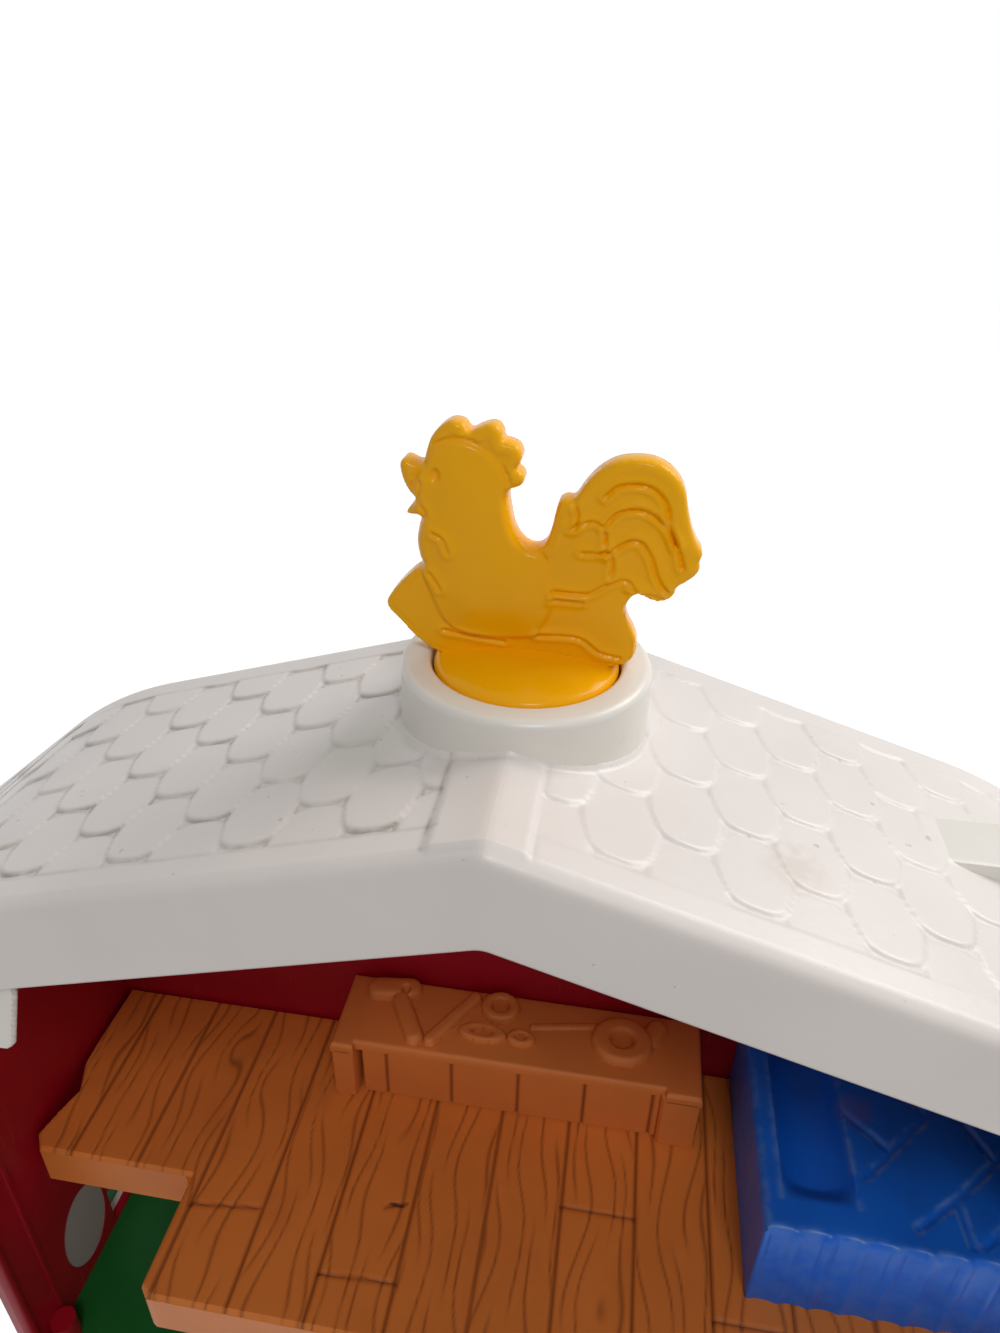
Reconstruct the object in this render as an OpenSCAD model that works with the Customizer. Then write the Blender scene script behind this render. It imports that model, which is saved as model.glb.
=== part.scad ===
// Toy barn with opening doors: a moulded play building, open at the back.
// Millimetres, +Z up. The origin is on the underside, below the middle of the
// barn; +Y is the side with the barn doors and -Y is the open side.

/* [Barn walls] */
// Width across the outside of the side walls
barn_w = 336; // [300:1:380]
// Depth from the free edge of a side wall to the outer face of the front wall
barn_d = 101; // [90:1:125]
// Thickness of a moulded wall
wall_t = 3; // [2.4:0.1:4]
// Spacing of the moulded boards on the outer faces
board_pitch = 24; // [18:1:34]
// Depth of a groove between two boards
groove_d = 0.8; // [0.5:0.1:1.2]

/* [Base tray] */
// Height of the base floor above the table
base_h = 14; // [11:0.5:20]
// How far the base reaches past the walls
base_lip = 9; // [7:0.5:16]
// Radius of the base corners in plan
base_corner_r = 18; // [8:1:30]
// Height of the rubber feet below the base skirt
foot_h = 1.5; // [1:0.1:2.5]

/* [Roof] */
// Height of the ridge above the table
ridge_h = 296; // [285:1:330]
// Slope of the upper roof in degrees
upper_pitch = 17; // [14:0.5:20]
// Slope of the lower roof in degrees
lower_pitch = 40; // [36:0.5:46]
// Half span where the two slopes would meet
knee_x = 142; // [132:1:150]
// Radius of the bend between the two slopes
knee_r = 110; // [60:1:120]
// Half span at the eaves
eave_x = 206; // [198:1:220]
// Depth of the roof along the ridge
roof_d = 108; // [104:1:132]
// Thickness of the roof shell
roof_t = 3; // [2.4:0.1:4]
// Depth of the fascia, square to the slope
fascia_h = 25; // [16:0.5:30]
// Rounding of the roof's long edges
verge_r = 4; // [2.5:0.5:6]
// Width of the plain border beside the shingles
verge_w = 11; // [8:0.5:16]
// Width of each half of the ridge cap
ridge_cap_w = 12; // [8:0.5:16]

/* [Shingles] */
// Distance between two columns of shingles down the slope
shingle_step = 15.4; // [13:0.1:18]
// Length of a shingle from its foot to its head, across the roof's depth
shingle_l = 24; // [20:0.5:28]
// Width of a shingle at its middle
shingle_w = 18.4; // [15:0.1:20]
// Radius of a shingle's curved sides
shingle_r = 16; // [13:0.5:30]
// How far the foot of a shingle stands off the roof
shingle_lift = 1; // [0.6:0.1:1.6]

/* [Vane collar] */
// Outer radius of the round collar
collar_r = 31; // [27:0.5:36]
// Width of the collar's rim
collar_rim = 7.4; // [5:0.1:9]
// Height of the rim above the ridge
collar_rise = 9; // [7:0.1:16]
// Distance of the vane's axis in front of the roof's middle
vane_y = 10; // [-6:0.5:14]

/* [Weather vane] */
// Height of the rooster above its disc
rooster_h = 59; // [45:1:66]
// Thickness of the rooster plate
plate_t = 9; // [7:0.5:12]
// Gap between the disc and the collar
disc_gap = 0.6; // [0.4:0.1:1]
// Radius of the stem that turns in the roof
stem_r = 5; // [4:0.1:6.5]
// Radial clearance of the stem in its bore
stem_clear = 0.1; // [0.05:0.01:0.1]

/* [Loft] */
// Height of the loft floor above the table
loft_z = 109; // [104:0.5:116]
// Depth of the loft floor's edge
loft_t = 18; // [12:0.5:20]
// Width of one plank
plank_w = 24.3; // [20:0.1:30]
// Left side of the deep part of the loft
loft_left = -104; // [-120:1:-90]
// How far the deep part reaches past the side walls
loft_reach = 9.5; // [5:0.5:14]
// How far the shallow part stands back from the walls' free edges
loft_setback = 28; // [20:1:40]

/* [Workbench] */
// Length of the bench top
bench_w = 131; // [110:1:140]
// Height of the bench top above the loft
bench_h = 28; // [20:0.5:34]
// Depth of the bench top
bench_d = 35; // [28:0.5:40]

/* [Stone deck] */
// Left side of the deck
deck_x = 80; // [74:0.5:90]
// Height of the deck above the loft
deck_h = 38; // [30:0.5:44]
// Width of the channel on the deck's left
channel_w = 22; // [16:0.5:26]
// Thickness of the channel's outer wall
channel_wall = 6; // [3:0.5:8]
// Depth of the deck from front to back
deck_d = 77.5; // [60:0.5:78]

/* [Barn doors] */
// Width of the front doorway
door_w = 96; // [80:1:110]
// Height of the front doorway
door_h = 68; // [56:1:72]
// Thickness of a door leaf
leaf_t = 4; // [3:0.1:5]
// Width of the white surround
trim_w = 7; // [5:0.5:10]
// Radius of a door's hinge post
post_r = 2.8; // [2.6:0.1:3.6]
// Radius of the hinge pins
pin_r = 1.5; // [1.2:0.1:1.8]
// Radial clearance of a hinge pin in its lug
pin_clear = 0.08; // [0.04:0.01:0.1]

/* [Hatch, stall and windows] */
// Width of the hayloft hatch
hatch_w = 48; // [36:1:60]
// Height of the hayloft hatch
hatch_h = 42; // [30:1:50]
// Height of the hatch sill above the table
hatch_z = 160; // [156:1:172]
// Width of the stall doorway in the left wall
stall_w = 32; // [28:1:36]
// Height of the stall doorway
stall_h = 60; // [50:1:66]
// Height of the stall gate
gate_h = 34; // [24:1:40]
// Side of a square window
window_s = 34; // [26:1:38]
// Distance of the front windows from the middle
window_x = 108; // [100:1:116]
// Width of the narrow window in the right wall
side_window_w = 20; // [16:1:21]

/* [Silo] */
// Outer radius of the silo
silo_r = 36; // [30:0.5:40]
// Depth position of the silo's axis
silo_y = 10; // [4:0.5:12]
// How far the silo's axis stands off the side wall
silo_off = 26; // [20:0.5:30]
// Height of the silo cap above the roof's shoulder
silo_cap_h = 34; // [24:1:44]
// Width of the doorway in the silo
silo_door_w = 30; // [24:0.5:34]
// Height of the doorway in the silo
silo_door_h = 52; // [40:1:60]

/* [Hidden] */
$fn = 48;

eps = 0.02;
seat_gap = 0.2;
half_w = barn_w / 2;
inner_x = half_w - wall_t;
// Plan of the walls: the free edges are at wall_y0, the front wall's outer face at wall_y1
roof_y0 = -roof_d / 2;
wall_y1 = roof_d / 2 - roof_t - 0.5;
wall_y0 = wall_y1 - barn_d;
front_in = wall_y1 - wall_t;

// Roof section: an upper straight, a bend about knee_c, and a lower straight
bend = lower_pitch - upper_pitch;
tangent = knee_r * tan(bend / 2);
knee_z = ridge_h - knee_x * tan(upper_pitch);
upper_len = knee_x / cos(upper_pitch) - tangent;
bend_len = knee_r * bend * PI / 180;
lower_len = (eave_x - knee_x) / cos(lower_pitch) - tangent;
bend_x = upper_len * cos(upper_pitch);
bend_z = ridge_h - upper_len * sin(upper_pitch);
knee_cx = bend_x - knee_r * sin(upper_pitch);
knee_cz = bend_z - knee_r * cos(upper_pitch);
low_x = knee_cx + knee_r * sin(lower_pitch);
low_z = knee_cz + knee_r * cos(lower_pitch);

// Slope angle, and the point on the roof's outer line, at a distance s from the ridge
function slope_at(s) =
    s < upper_len ? upper_pitch
    : s < upper_len + bend_len ? upper_pitch + (s - upper_len) * 180 / PI / knee_r
    : lower_pitch;
function path_x(s) =
    s < upper_len ? s * cos(upper_pitch)
    : s < upper_len + bend_len ? knee_cx + knee_r * sin(slope_at(s))
    : low_x + (s - upper_len - bend_len) * cos(lower_pitch);
function path_z(s) =
    s < upper_len ? ridge_h - s * sin(upper_pitch)
    : s < upper_len + bend_len ? knee_cz + knee_r * cos(slope_at(s))
    : low_z - (s - upper_len - bend_len) * sin(lower_pitch);
// Points of the roof's outer line moved inwards by n, from the ridge to the eave
bend_steps = 8;
function inner_line(n) = concat(
    [[0, ridge_h - n / cos(upper_pitch)]],
    [for (i = [0:bend_steps])
        let (a = upper_pitch + bend * i / bend_steps)
        [knee_cx + (knee_r - n) * sin(a), knee_cz + (knee_r - n) * cos(a)]],
    [[eave_x, low_z - n / cos(lower_pitch) - (eave_x - low_x) * tan(lower_pitch)]]
);

// Extrude a drawing in X and Z from y0 to y1
module in_xz(y0, y1) {
    translate([0, y1, 0]) rotate([90, 0, 0]) linear_extrude(height = y1 - y0) children();
}
// Extrude a drawing in Y and Z from x0 to x1
module in_yz(x0, x1) {
    translate([x0, 0, 0]) rotate([90, 0, 90]) linear_extrude(height = x1 - x0) children();
}
module block(lo, hi) {
    translate(lo) cube(hi - lo);
}
module rect(lo, hi) {
    translate(lo) square(hi - lo);
}
module rounded_square(lo, hi, r) {
    union() {
        translate([lo[0] + r, lo[1]]) square([hi[0] - lo[0] - 2 * r, hi[1] - lo[1]]);
        translate([lo[0], lo[1] + r]) square([hi[0] - lo[0], hi[1] - lo[1] - 2 * r]);
        for (x = [lo[0] + r, hi[0] - r], y = [lo[1] + r, hi[1] - r]) translate([x, y]) circle(r);
    }
}
// Region below the roof's underside, drawn in X and Z
module under_roof_2d(n) {
    line = inner_line(n);
    polygon(concat(line, [[eave_x, 0], [0, 0]]));
    mirror([1, 0]) polygon(concat(line, [[eave_x, 0], [0, 0]]));
}

// ---------------------------------------------------------------- base tray
base_x = half_w + base_lip;
base_y0 = wall_y0 - base_lip;
base_y1 = wall_y1 + base_lip;
silo_x = half_w + silo_off;
base_t = 3;
skirt_t = 3;
pad_r = silo_r + base_lip - 2;
boss_r = 4.5;
boss_x = inner_x - boss_r + 0.5;
boss_y = [wall_y0 + 12, front_in - 1 - boss_r];
rib_y = 20;
wall_boss_h = 12;
centre_pad_r = 14;
screw_r = 1.5;
screw_clear = 0.05;
screw_head_r = 3;
screw_head_t = 1.2;

module base_outline(inset) {
    rounded_square([-base_x + inset, base_y0 + inset], [base_x - inset, base_y1 - inset],
        base_corner_r - inset);
    translate([silo_x, silo_y]) circle(pad_r - inset);
}
module base_tray() {
    color("forestgreen") difference() {
        union() {
            difference() {
                linear_extrude(height = base_h) base_outline(0);
                translate([0, 0, -1]) linear_extrude(height = base_h - base_t + 1) base_outline(skirt_t);
            }
            // Rim bead along the foot of the skirt
            difference() {
                translate([0, 0, foot_h]) linear_extrude(height = 2.5) base_outline(-1);
                translate([0, 0, foot_h - 1]) linear_extrude(height = 4.5) base_outline(skirt_t);
            }
            // Centre pad and ribs that carry the floor
            cylinder(r = centre_pad_r, h = base_h - 1);
            for (y = [-rib_y, rib_y])
                block([-base_x + 2, y - 1, foot_h + 1], [base_x - 2, y + 1, base_h - 1]);
            for (x = [-boss_x, 0, boss_x])
                block([x - 1, base_y0 + 2, foot_h + 1], [x + 1, base_y1 - 2, base_h - 1]);
            for (x = [-boss_x, boss_x], y = boss_y)
                translate([x, y, foot_h]) cylinder(r = boss_r, h = base_h - foot_h - 1);
            // Sockets of the feet
            for (p = foot_places)
                translate([p[0], p[1], foot_flange])
                    cylinder(r = foot_r - 0.8, h = base_h - foot_flange - 1);
        }
        translate([0, 0, -eps]) linear_extrude(height = foot_h + eps) difference() {
            base_outline(-2);
            circle(centre_pad_r);
        }
        for (x = [-boss_x, boss_x], y = boss_y)
            translate([x, y, -1]) cylinder(r = screw_r + screw_clear, h = base_h + 2);
        for (p = foot_places)
            translate([p[0], p[1], 0]) cylinder(r = foot_peg_r + screw_clear, h = base_h - base_t);
    }
}
foot_r = 6.8;
foot_flange = 3;
foot_peg_r = 4;
foot_x = base_x - 36;
foot_y0 = base_y0 + 11.5;
foot_y1 = base_y1 - 11.5;
foot_places = [[-foot_x, foot_y0], [foot_x, foot_y0], [-foot_x, foot_y1], [foot_x, foot_y1]];
module base_feet() {
    color("dimgray") for (p = foot_places) translate([p[0], p[1], 0]) {
        cylinder(r = foot_r, h = foot_flange);
        cylinder(r = foot_peg_r, h = base_h - base_t - 0.5);
    }
}
module base_screws() {
    color("silver") for (x = [-boss_x, boss_x], y = boss_y) translate([x, y, 0]) {
        translate([0, 0, foot_h - screw_head_t]) cylinder(r = screw_head_r, h = screw_head_t);
        translate([0, 0, foot_h - 0.2]) cylinder(r = screw_r, h = base_h + wall_boss_h - foot_h - 2);
    }
}

// ---------------------------------------------------------------- side walls
ledge = 6;
ledge_h = 6;
bead_r = 2.5;
bead_h = 150;
loft_low = loft_z - loft_t;
gate_mid = front_in - 12 - stall_w / 2;
silo_gap = 0.3;

// Side wall seen from outside: a plate that follows the roof's underside
module side_plate() {
    intersection() {
        block([inner_x, wall_y0, base_h], [half_w, front_in, ridge_h]);
        in_xz(wall_y0 - 1, front_in + 1) under_roof_2d(roof_t + seat_gap);
    }
}
module side_boards() {
    for (y = [wall_y0 + board_pitch:board_pitch:front_in - 6])
        block([half_w - groove_d, y - 0.6, base_h + 8], [half_w + 1, y + 0.6, ridge_h]);
}
// Ledge under the loft, with a plain brace below it
module loft_ledge() {
    block([inner_x - ledge, wall_y0 + loft_setback + 6, loft_low - ledge_h],
        [inner_x + 1, front_in, loft_low]);
}
// Bosses at the foot of a side wall that take the screws from below
module wall_bosses() {
    for (y = boss_y) translate([boss_x, y, base_h]) difference() {
        cylinder(r = boss_r, h = wall_boss_h);
        translate([0, 0, -1]) cylinder(r = screw_r + screw_clear, h = wall_boss_h);
    }
}
// Bare oval place for a label, on the inner face
oval_c = [-11, 38.5];
oval_size = [26, 39];
module oval_recess() {
    in_yz(inner_x - 1, inner_x + 0.4) polygon([for (a = [0:10:350])
        [oval_c[0] + oval_size[0] / 2 * cos(a), oval_c[1] + oval_size[1] / 2 * sin(a)]]);
}
module left_wall() {
    color("firebrick") difference() {
        mirror([1, 0, 0]) difference() {
            union() {
                side_plate();
                loft_ledge();
                wall_bosses();
                // Bead along the free edge, and the thin rib inside it
                translate([half_w - bead_r, wall_y0 + bead_r, base_h]) cylinder(r = bead_r, h = bead_h);
                block([inner_x - 0.8, wall_y0 + 16, base_h], [inner_x + 1, wall_y0 + 17.2, loft_z + 24]);
            }
            side_boards();
            oval_recess();
        }
        // Stall doorway with an arched head
        in_yz(-half_w - 3, -inner_x + ledge + 1) stall_outline(0);
    }
}
module stall_outline(grow) {
    r = stall_w / 2 + grow;
    translate([gate_mid - r, base_h + 2 - grow]) square([2 * r, stall_h - stall_w / 2 + grow]);
    translate([gate_mid, base_h + 2 + stall_h - stall_w / 2]) circle(r);
}
// The side window and the opening from the silo to the deck
side_window_y = wall_y0 + 17.5;
window_z = 36;
silo_pass_z0 = loft_z + deck_h;
silo_pass_h = 46;
silo_pass_w = 40;
module right_wall() {
    color("firebrick") difference() {
        union() {
            side_plate();
            loft_ledge();
            wall_bosses();
            translate([half_w - bead_r, wall_y0 + bead_r, base_h]) cylinder(r = bead_r, h = bead_h);
        }
        difference() {
            side_boards();
            block([inner_x, silo_y - silo_r - 3, 0], [half_w + 2, silo_y + silo_r + 3, ridge_h]);
        }
        in_yz(inner_x - ledge - 1, half_w + 3)
            translate([side_window_y - side_window_w / 2, window_z]) square([side_window_w, window_s]);
        in_yz(inner_x - 1, half_w + 3)
            rounded_square([silo_y - silo_pass_w / 2, silo_pass_z0 + 1],
                [silo_y + silo_pass_w / 2, silo_pass_z0 + silo_pass_h], 8);
    }
}

// ---------------------------------------------------------------- front wall
door_sill = base_h + 2;
door_cut = 12;
module door_outline(grow) {
    w = door_w / 2 + grow;
    top = door_sill + door_h + grow;
    cut = door_cut + grow * 0.4142;
    polygon([[-w, door_sill - grow], [w, door_sill - grow], [w, top - cut],
        [w - cut, top], [-w + cut, top], [-w, top - cut]]);
}
module hatch_outline(grow) {
    w = hatch_w / 2 + grow;
    polygon([[-w, hatch_z - grow], [w, hatch_z - grow], [w, hatch_z + hatch_h + grow],
        [-w, hatch_z + hatch_h + grow]]);
}
module window_outline(grow) {
    translate([-window_s / 2 - grow, window_z - grow])
        square(window_s + 2 * grow);
}
module front_wall() {
    color("firebrick") difference() {
        union() {
            intersection() {
                block([-half_w, front_in, base_h], [half_w, wall_y1, ridge_h]);
                in_xz(front_in - 1, wall_y1 + 1) under_roof_2d(roof_t + seat_gap);
            }
            // Ledge that carries the back of the loft
            block([-inner_x + ledge + 1, front_in - ledge, loft_low - ledge_h],
                [inner_x - ledge - 1, front_in + 1, loft_low]);
        }
        in_xz(front_in - ledge - 1, wall_y1 + 1) {
            door_outline(0);
            hatch_outline(0);
            for (x = [-window_x, window_x]) translate([x, 0]) window_outline(0);
        }
        // Board grooves on the outer face, clear of the white surrounds
        for (x = [board_pitch / 2:board_pitch:half_w - 6], side = [-1, 1]) difference() {
            block([side * x - 0.6, wall_y1 - groove_d, base_h + 8], [side * x + 0.6, wall_y1 + 1, ridge_h]);
            in_xz(wall_y1 - 2, wall_y1 + 2) {
                door_outline(trim_w + 1);
                hatch_outline(trim_w + 1);
                for (m = [-window_x, window_x]) translate([m, 0]) window_outline(trim_w);
            }
        }
    }
}

// ---------------------------------------------------------------- roof
// Section of the shell across its depth: x is depth, y is height off the outer face.
// An inset draws the same section a little inside the full one
module shell_section(inset) {
    half = roof_d / 2 - inset;
    low = -fascia_h + inset;
    difference() {
        union() {
            rect([-half, low], [half, -inset - verge_r]);
            rect([-half + verge_r, low], [half - verge_r, -inset]);
            for (x = [-half + verge_r, half - verge_r]) translate([x, -inset - verge_r]) circle(verge_r);
        }
        rect([-roof_d / 2 + roof_t - inset, low - 1], [roof_d / 2 - roof_t + inset, -roof_t + inset]);
    }
}
// Put children, drawn as depth and height, on the slope at a distance s from the ridge
module on_slope(s) {
    translate([path_x(s), 0, path_z(s)]) rotate([0, slope_at(s), 0]) children();
}
mitre = 12;
eave_lip = 12;
// The straights end inside the bend, and are drawn this much smaller than it
bend_step = 0.04;
bend_lap = 1;
module roof_half_shell() {
    intersection() {
        union() {
            on_slope(0) translate([-mitre, 0, 0]) rotate([90, 0, 90])
                linear_extrude(height = upper_len + mitre + bend_lap) shell_section(bend_step);
            translate([knee_cx, 0, knee_cz]) rotate([90, 0, 0]) rotate([0, 0, 90 - lower_pitch])
                rotate_extrude(angle = bend) translate([knee_r, 0]) mirror([1, -1]) shell_section(0);
            on_slope(upper_len + bend_len) translate([-bend_lap, 0, 0]) rotate([90, 0, 90])
                linear_extrude(height = lower_len + bend_lap) shell_section(bend_step);
            // Eave lip
            on_slope(upper_len + bend_len + lower_len)
                block([-roof_t - 0.5, roof_y0 + 2, -eave_lip], [-0.5, -roof_y0 - 2, -1]);
        }
        block([0, roof_y0 - 1, 0], [eave_x + 20, -roof_y0 + 1, ridge_h + 5]);
    }
}
// Shingle with curved sides and flat ends
field_d = roof_d - 2 * verge_w;
module shingle_2d() {
    w = shingle_w / 2;
    intersection() {
        translate([shingle_r - w, 0]) circle(shingle_r);
        translate([w - shingle_r, 0]) circle(shingle_r);
        square([2 * w, shingle_l - 0.4], center = true);
    }
}
// Column of shingles at a distance s from the ridge; their feet face the open side
module shingle_column(s, y_first) {
    tilt = atan(shingle_lift / shingle_l);
    on_slope(s) for (y = [y_first:shingle_l:field_d / 2 + shingle_l / 2])
        intersection() {
            translate([0, y, shingle_lift / 2 - 1.6]) rotate([-tilt, 0, 0])
                linear_extrude(height = 1.6) shingle_2d();
            block([-shingle_w, -field_d / 2, -4], [shingle_w, field_d / 2, 4]);
        }
}
shingle_s0 = ridge_cap_w + shingle_step;
roof_len = upper_len + bend_len + lower_len;
module shingles() {
    for (i = [0:floor((roof_len - 8 - shingle_s0) / shingle_step)])
        shingle_column(shingle_s0 + i * shingle_step,
            roof_y0 + (i % 2 == 0 ? shingle_l : shingle_l / 2));
}
module ridge_cap() {
    on_slope(0) block([0, roof_y0 + verge_r, -1], [ridge_cap_w, -roof_y0 - verge_r, 1]);
}
// Tapered tab that hangs behind the fascia of the open side
tab_x = 118;
tab_w = 14;
tab_t = 2.4;
tab_low = 90;
tab_taper = 6;
tab_root = 22;
module clip_tab() {
    low = ridge_h - tab_low;
    in_xz(roof_y0 + roof_t - eps, roof_y0 + roof_t + tab_t) {
        polygon([[tab_x, low + tab_root + 12], [tab_x, low + tab_root], [tab_x + tab_taper, low + 2],
            [tab_x + tab_taper + 2, low], [tab_x + tab_w - 2, low], [tab_x + tab_w, low + 2],
            [tab_x + tab_w, low + tab_root + 12]]);
    }
}
collar_top = ridge_h + collar_rise;
well_z = collar_top - 9;
collar_low = ridge_h - collar_r * tan(upper_pitch) - roof_t;
module collar_outer() {
    translate([0, vane_y, 0]) {
        translate([0, 0, collar_low]) cylinder(r = collar_r, h = collar_top - collar_low - 2);
        translate([0, 0, collar_low]) cylinder(r = collar_r - 2, h = collar_top - collar_low);
        translate([0, 0, collar_top - 2])
            rotate_extrude() translate([collar_r - 2, 0]) circle(2);
    }
}
// Shoulder at the right rear, with a sleeve round the top of the silo, and the flat boss
shoulder_z = ridge_h - 45;
shoulder_y0 = -4;
flat_boss_x = 127;
flat_boss_l = 48;
flat_boss_w = 19;
flat_boss_r = 7;
flat_boss_z = ridge_h - 33;
flat_boss_h = 27;
sleeve_t = 2.4;
sleeve_h = 15;
module right_shoulder() {
    difference() {
        union() {
            translate([flat_boss_x, silo_y, flat_boss_z - flat_boss_h]) linear_extrude(height = flat_boss_h)
                rounded_square([-flat_boss_l / 2, -flat_boss_w / 2], [flat_boss_l / 2, flat_boss_w / 2],
                    flat_boss_r);
            in_xz(shoulder_y0, -roof_y0)
                rounded_square([flat_boss_x, shoulder_z - 55], [silo_x, shoulder_z], 3);
        }
        in_xz(roof_y0 - 1, -roof_y0 + 1) under_roof_2d(roof_t - 1);
        in_xz(shoulder_y0 + roof_t, -roof_y0 - roof_t)
            rect([half_w - 20, 0], [silo_x - roof_t, shoulder_z - roof_t]);
    }
    translate([silo_x, silo_y, shoulder_z - sleeve_h])
        cylinder(r = silo_r + silo_gap + sleeve_t, h = sleeve_h);
}
module roof_shell() {
    color("gainsboro") difference() {
        union() {
            roof_half_shell();
            mirror([1, 0, 0]) roof_half_shell();
            difference() {
                union() {
                    shingles();
                    mirror([1, 0, 0]) shingles();
                    intersection() {
                        union() {
                            ridge_cap();
                            mirror([1, 0, 0]) ridge_cap();
                        }
                        block([-30, roof_y0, ridge_h - 9], [30, -roof_y0, ridge_h + 2]);
                    }
                }
                in_xz(roof_y0 - 1, -roof_y0 + 1) under_roof_2d(roof_t - 1);
            }
            clip_tab();
            mirror([1, 0, 0]) clip_tab();
            difference() {
                collar_outer();
                translate([0, vane_y, collar_low - 1])
                    cylinder(r = collar_r - 3, h = well_z - 3 - collar_low + 1);
            }
            translate([0, vane_y, collar_low + 2]) cylinder(r = stem_r + 4, h = well_z - collar_low - 3);
            right_shoulder();
        }
        translate([0, vane_y, well_z]) cylinder(r = collar_r - collar_rim, h = 20);
        translate([0, vane_y, collar_low - 5]) cylinder(r = stem_r + stem_clear, h = 60);
        // Room for the silo where it passes the eave
        translate([silo_x, silo_y, 0]) cylinder(r = silo_r + silo_gap, h = shoulder_z - roof_t);
    }
}

// ---------------------------------------------------------------- weather vane
disc_r = collar_r - collar_rim - disc_gap;
disc_z = well_z + 0.3;
stem_low = collar_low - 1;
// Rooster and arrow outline: one closed curve through points in X and height above its foot
rooster = [
    [-24, 23.4], [-26.5, 30.4], [-24.5, 34], [-28.3, 34.4], [-25.8, 38], [-28.8, 42.9],
    [-29.3, 46.8], [-24.6, 46.4], [-22.6, 52.4], [-18.6, 56.8], [-15.4, 56.8], [-13.9, 55.2],
    [-9, 57], [-6.4, 53.6], [-3, 52.2], [-2, 49.4], [-3.4, 46.8], [-1.6, 44.4], [-4.6, 41.6],
    [-4.4, 35.2], [-0.6, 30.2], [3.6, 30.8], [5.6, 36.4], [6.6, 41.1], [9.8, 41.4],
    [13.4, 47.7], [20.4, 51.5], [27, 51.1], [32.6, 46.4], [34.8, 39.2], [38.6, 29.8],
    [37.6, 23.8], [33.8, 20.8], [30.4, 17.7], [25.2, 19], [23.2, 14.8], [26.2, 6.8],
    [24.4, 3.8], [17, 0.6], [0, 0], [-17, 0.4], [-25, 3.4], [-30.6, 7], [-34, 11.4],
    [-30.6, 17.8], [-26, 22.4]
];
// Catmull-Rom point on the closed curve p between points i and i + 1
function spline(p, i, t) =
    let (n = len(p), a = p[(i + n - 1) % n], b = p[i], c = p[(i + 1) % n], d = p[(i + 2) % n])
    0.5 * (2 * b + (c - a) * t + (2 * a - 5 * b + 4 * c - d) * t * t + (3 * b - a - 3 * c + d) * t * t * t);
function closed_spline(p, steps) =
    [for (i = [0:len(p) - 1], k = [0:steps - 1]) spline(p, i, k / steps)];
// Height at which the outline above is drawn
rooster_drawn = 57;
rooster_scale = rooster_h / rooster_drawn;
// How far the foot of the plate reaches below the top of the collar
foot_sink = 1.2;
module rooster_2d() {
    translate([0, collar_top - foot_sink]) scale(rooster_scale) polygon(closed_spline(rooster, 3));
}
retainer_t = 2;
vane_screw_l = 7;
dome_h = 3.6;
// Half section of the domed disc, its stem and the bore for the screw
module vane_profile() {
    polygon(concat(
        [[screw_r + screw_clear, stem_low], [stem_r, stem_low], [stem_r, disc_z], [disc_r, disc_z]],
        [for (i = [0:6]) [disc_r * cos(15 * i), collar_top + dome_h * sin(15 * i)]],
        [[0, stem_low + vane_screw_l + 1], [screw_r + screw_clear, stem_low + vane_screw_l + 1]]
    ));
}
module rooster_vane() {
    color("gold") {
        translate([0, vane_y, 0]) rotate_extrude() vane_profile();
        in_xz(vane_y - plate_t / 2, vane_y + plate_t / 2) rooster_2d();
    }
}
module vane_retainer() {
    color("whitesmoke") translate([0, vane_y, stem_low - retainer_t]) difference() {
        cylinder(r = stem_r + 5, h = retainer_t);
        translate([0, 0, -1]) cylinder(r = screw_r + screw_clear, h = retainer_t + 2);
    }
}
module vane_screw() {
    color("silver") translate([0, vane_y, stem_low - retainer_t]) {
        translate([0, 0, -2.2]) cylinder(r = 3.4, h = 2.2);
        cylinder(r = screw_r, h = retainer_t + vane_screw_l);
    }
}

// ---------------------------------------------------------------- loft
loft_y0 = wall_y0 - loft_reach;
step_y0 = wall_y0 + loft_setback;
loft_right = inner_x - 0.3;
// The right front corner stands back behind the wall's bead
loft_corner = wall_y0 + 2 * bead_r + 0.5;
loft_shell = 3;
// Left edge of the shallow part, a slow wave against the wall
wave = [[0, 0.6], [8, -3.4], [16, -1.2], [26, 1.6], [38, -2.6], [50, -3], [64, -2.6]];
module loft_outline(inset) {
    x0 = -inner_x + 4.4 + inset;
    y1 = front_in - 0.3 - inset;
    polygon(concat(
        [for (w = wave) [x0 + w[1], step_y0 + inset + w[0] * (front_in - step_y0 - 6) / 64]],
        [[x0 - 2.6, y1], [loft_right - inset, y1], [loft_right - inset, loft_corner + inset],
            [inner_x - 12 - inset, loft_corner + inset], [inner_x - 12 - inset, loft_y0 + 3 + inset],
            [inner_x - 15 - inset, loft_y0 + inset],
            [loft_left + 3 + inset, loft_y0 + inset], [loft_left + inset, loft_y0 + 3 + inset],
            [loft_left + inset, step_y0 + inset]]
    ));
}
module loft_floor() {
    color("chocolate") difference() {
        translate([0, 0, loft_low]) linear_extrude(height = loft_t) loft_outline(0);
        translate([0, 0, loft_low - 1]) linear_extrude(height = loft_t - loft_shell + 1)
            difference() {
                loft_outline(loft_shell);
                for (x = [loft_left + 2 * plank_w:2 * plank_w:inner_x - 20])
                    translate([x - 1, loft_y0]) square([2, 200]);
            }
        for (x = [loft_left + 4:plank_w:deck_x])
            block([x - 0.5, loft_y0 - 1, loft_z - 0.8], [x + 0.5, front_in, loft_z + 1]);
    }
}

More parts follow.
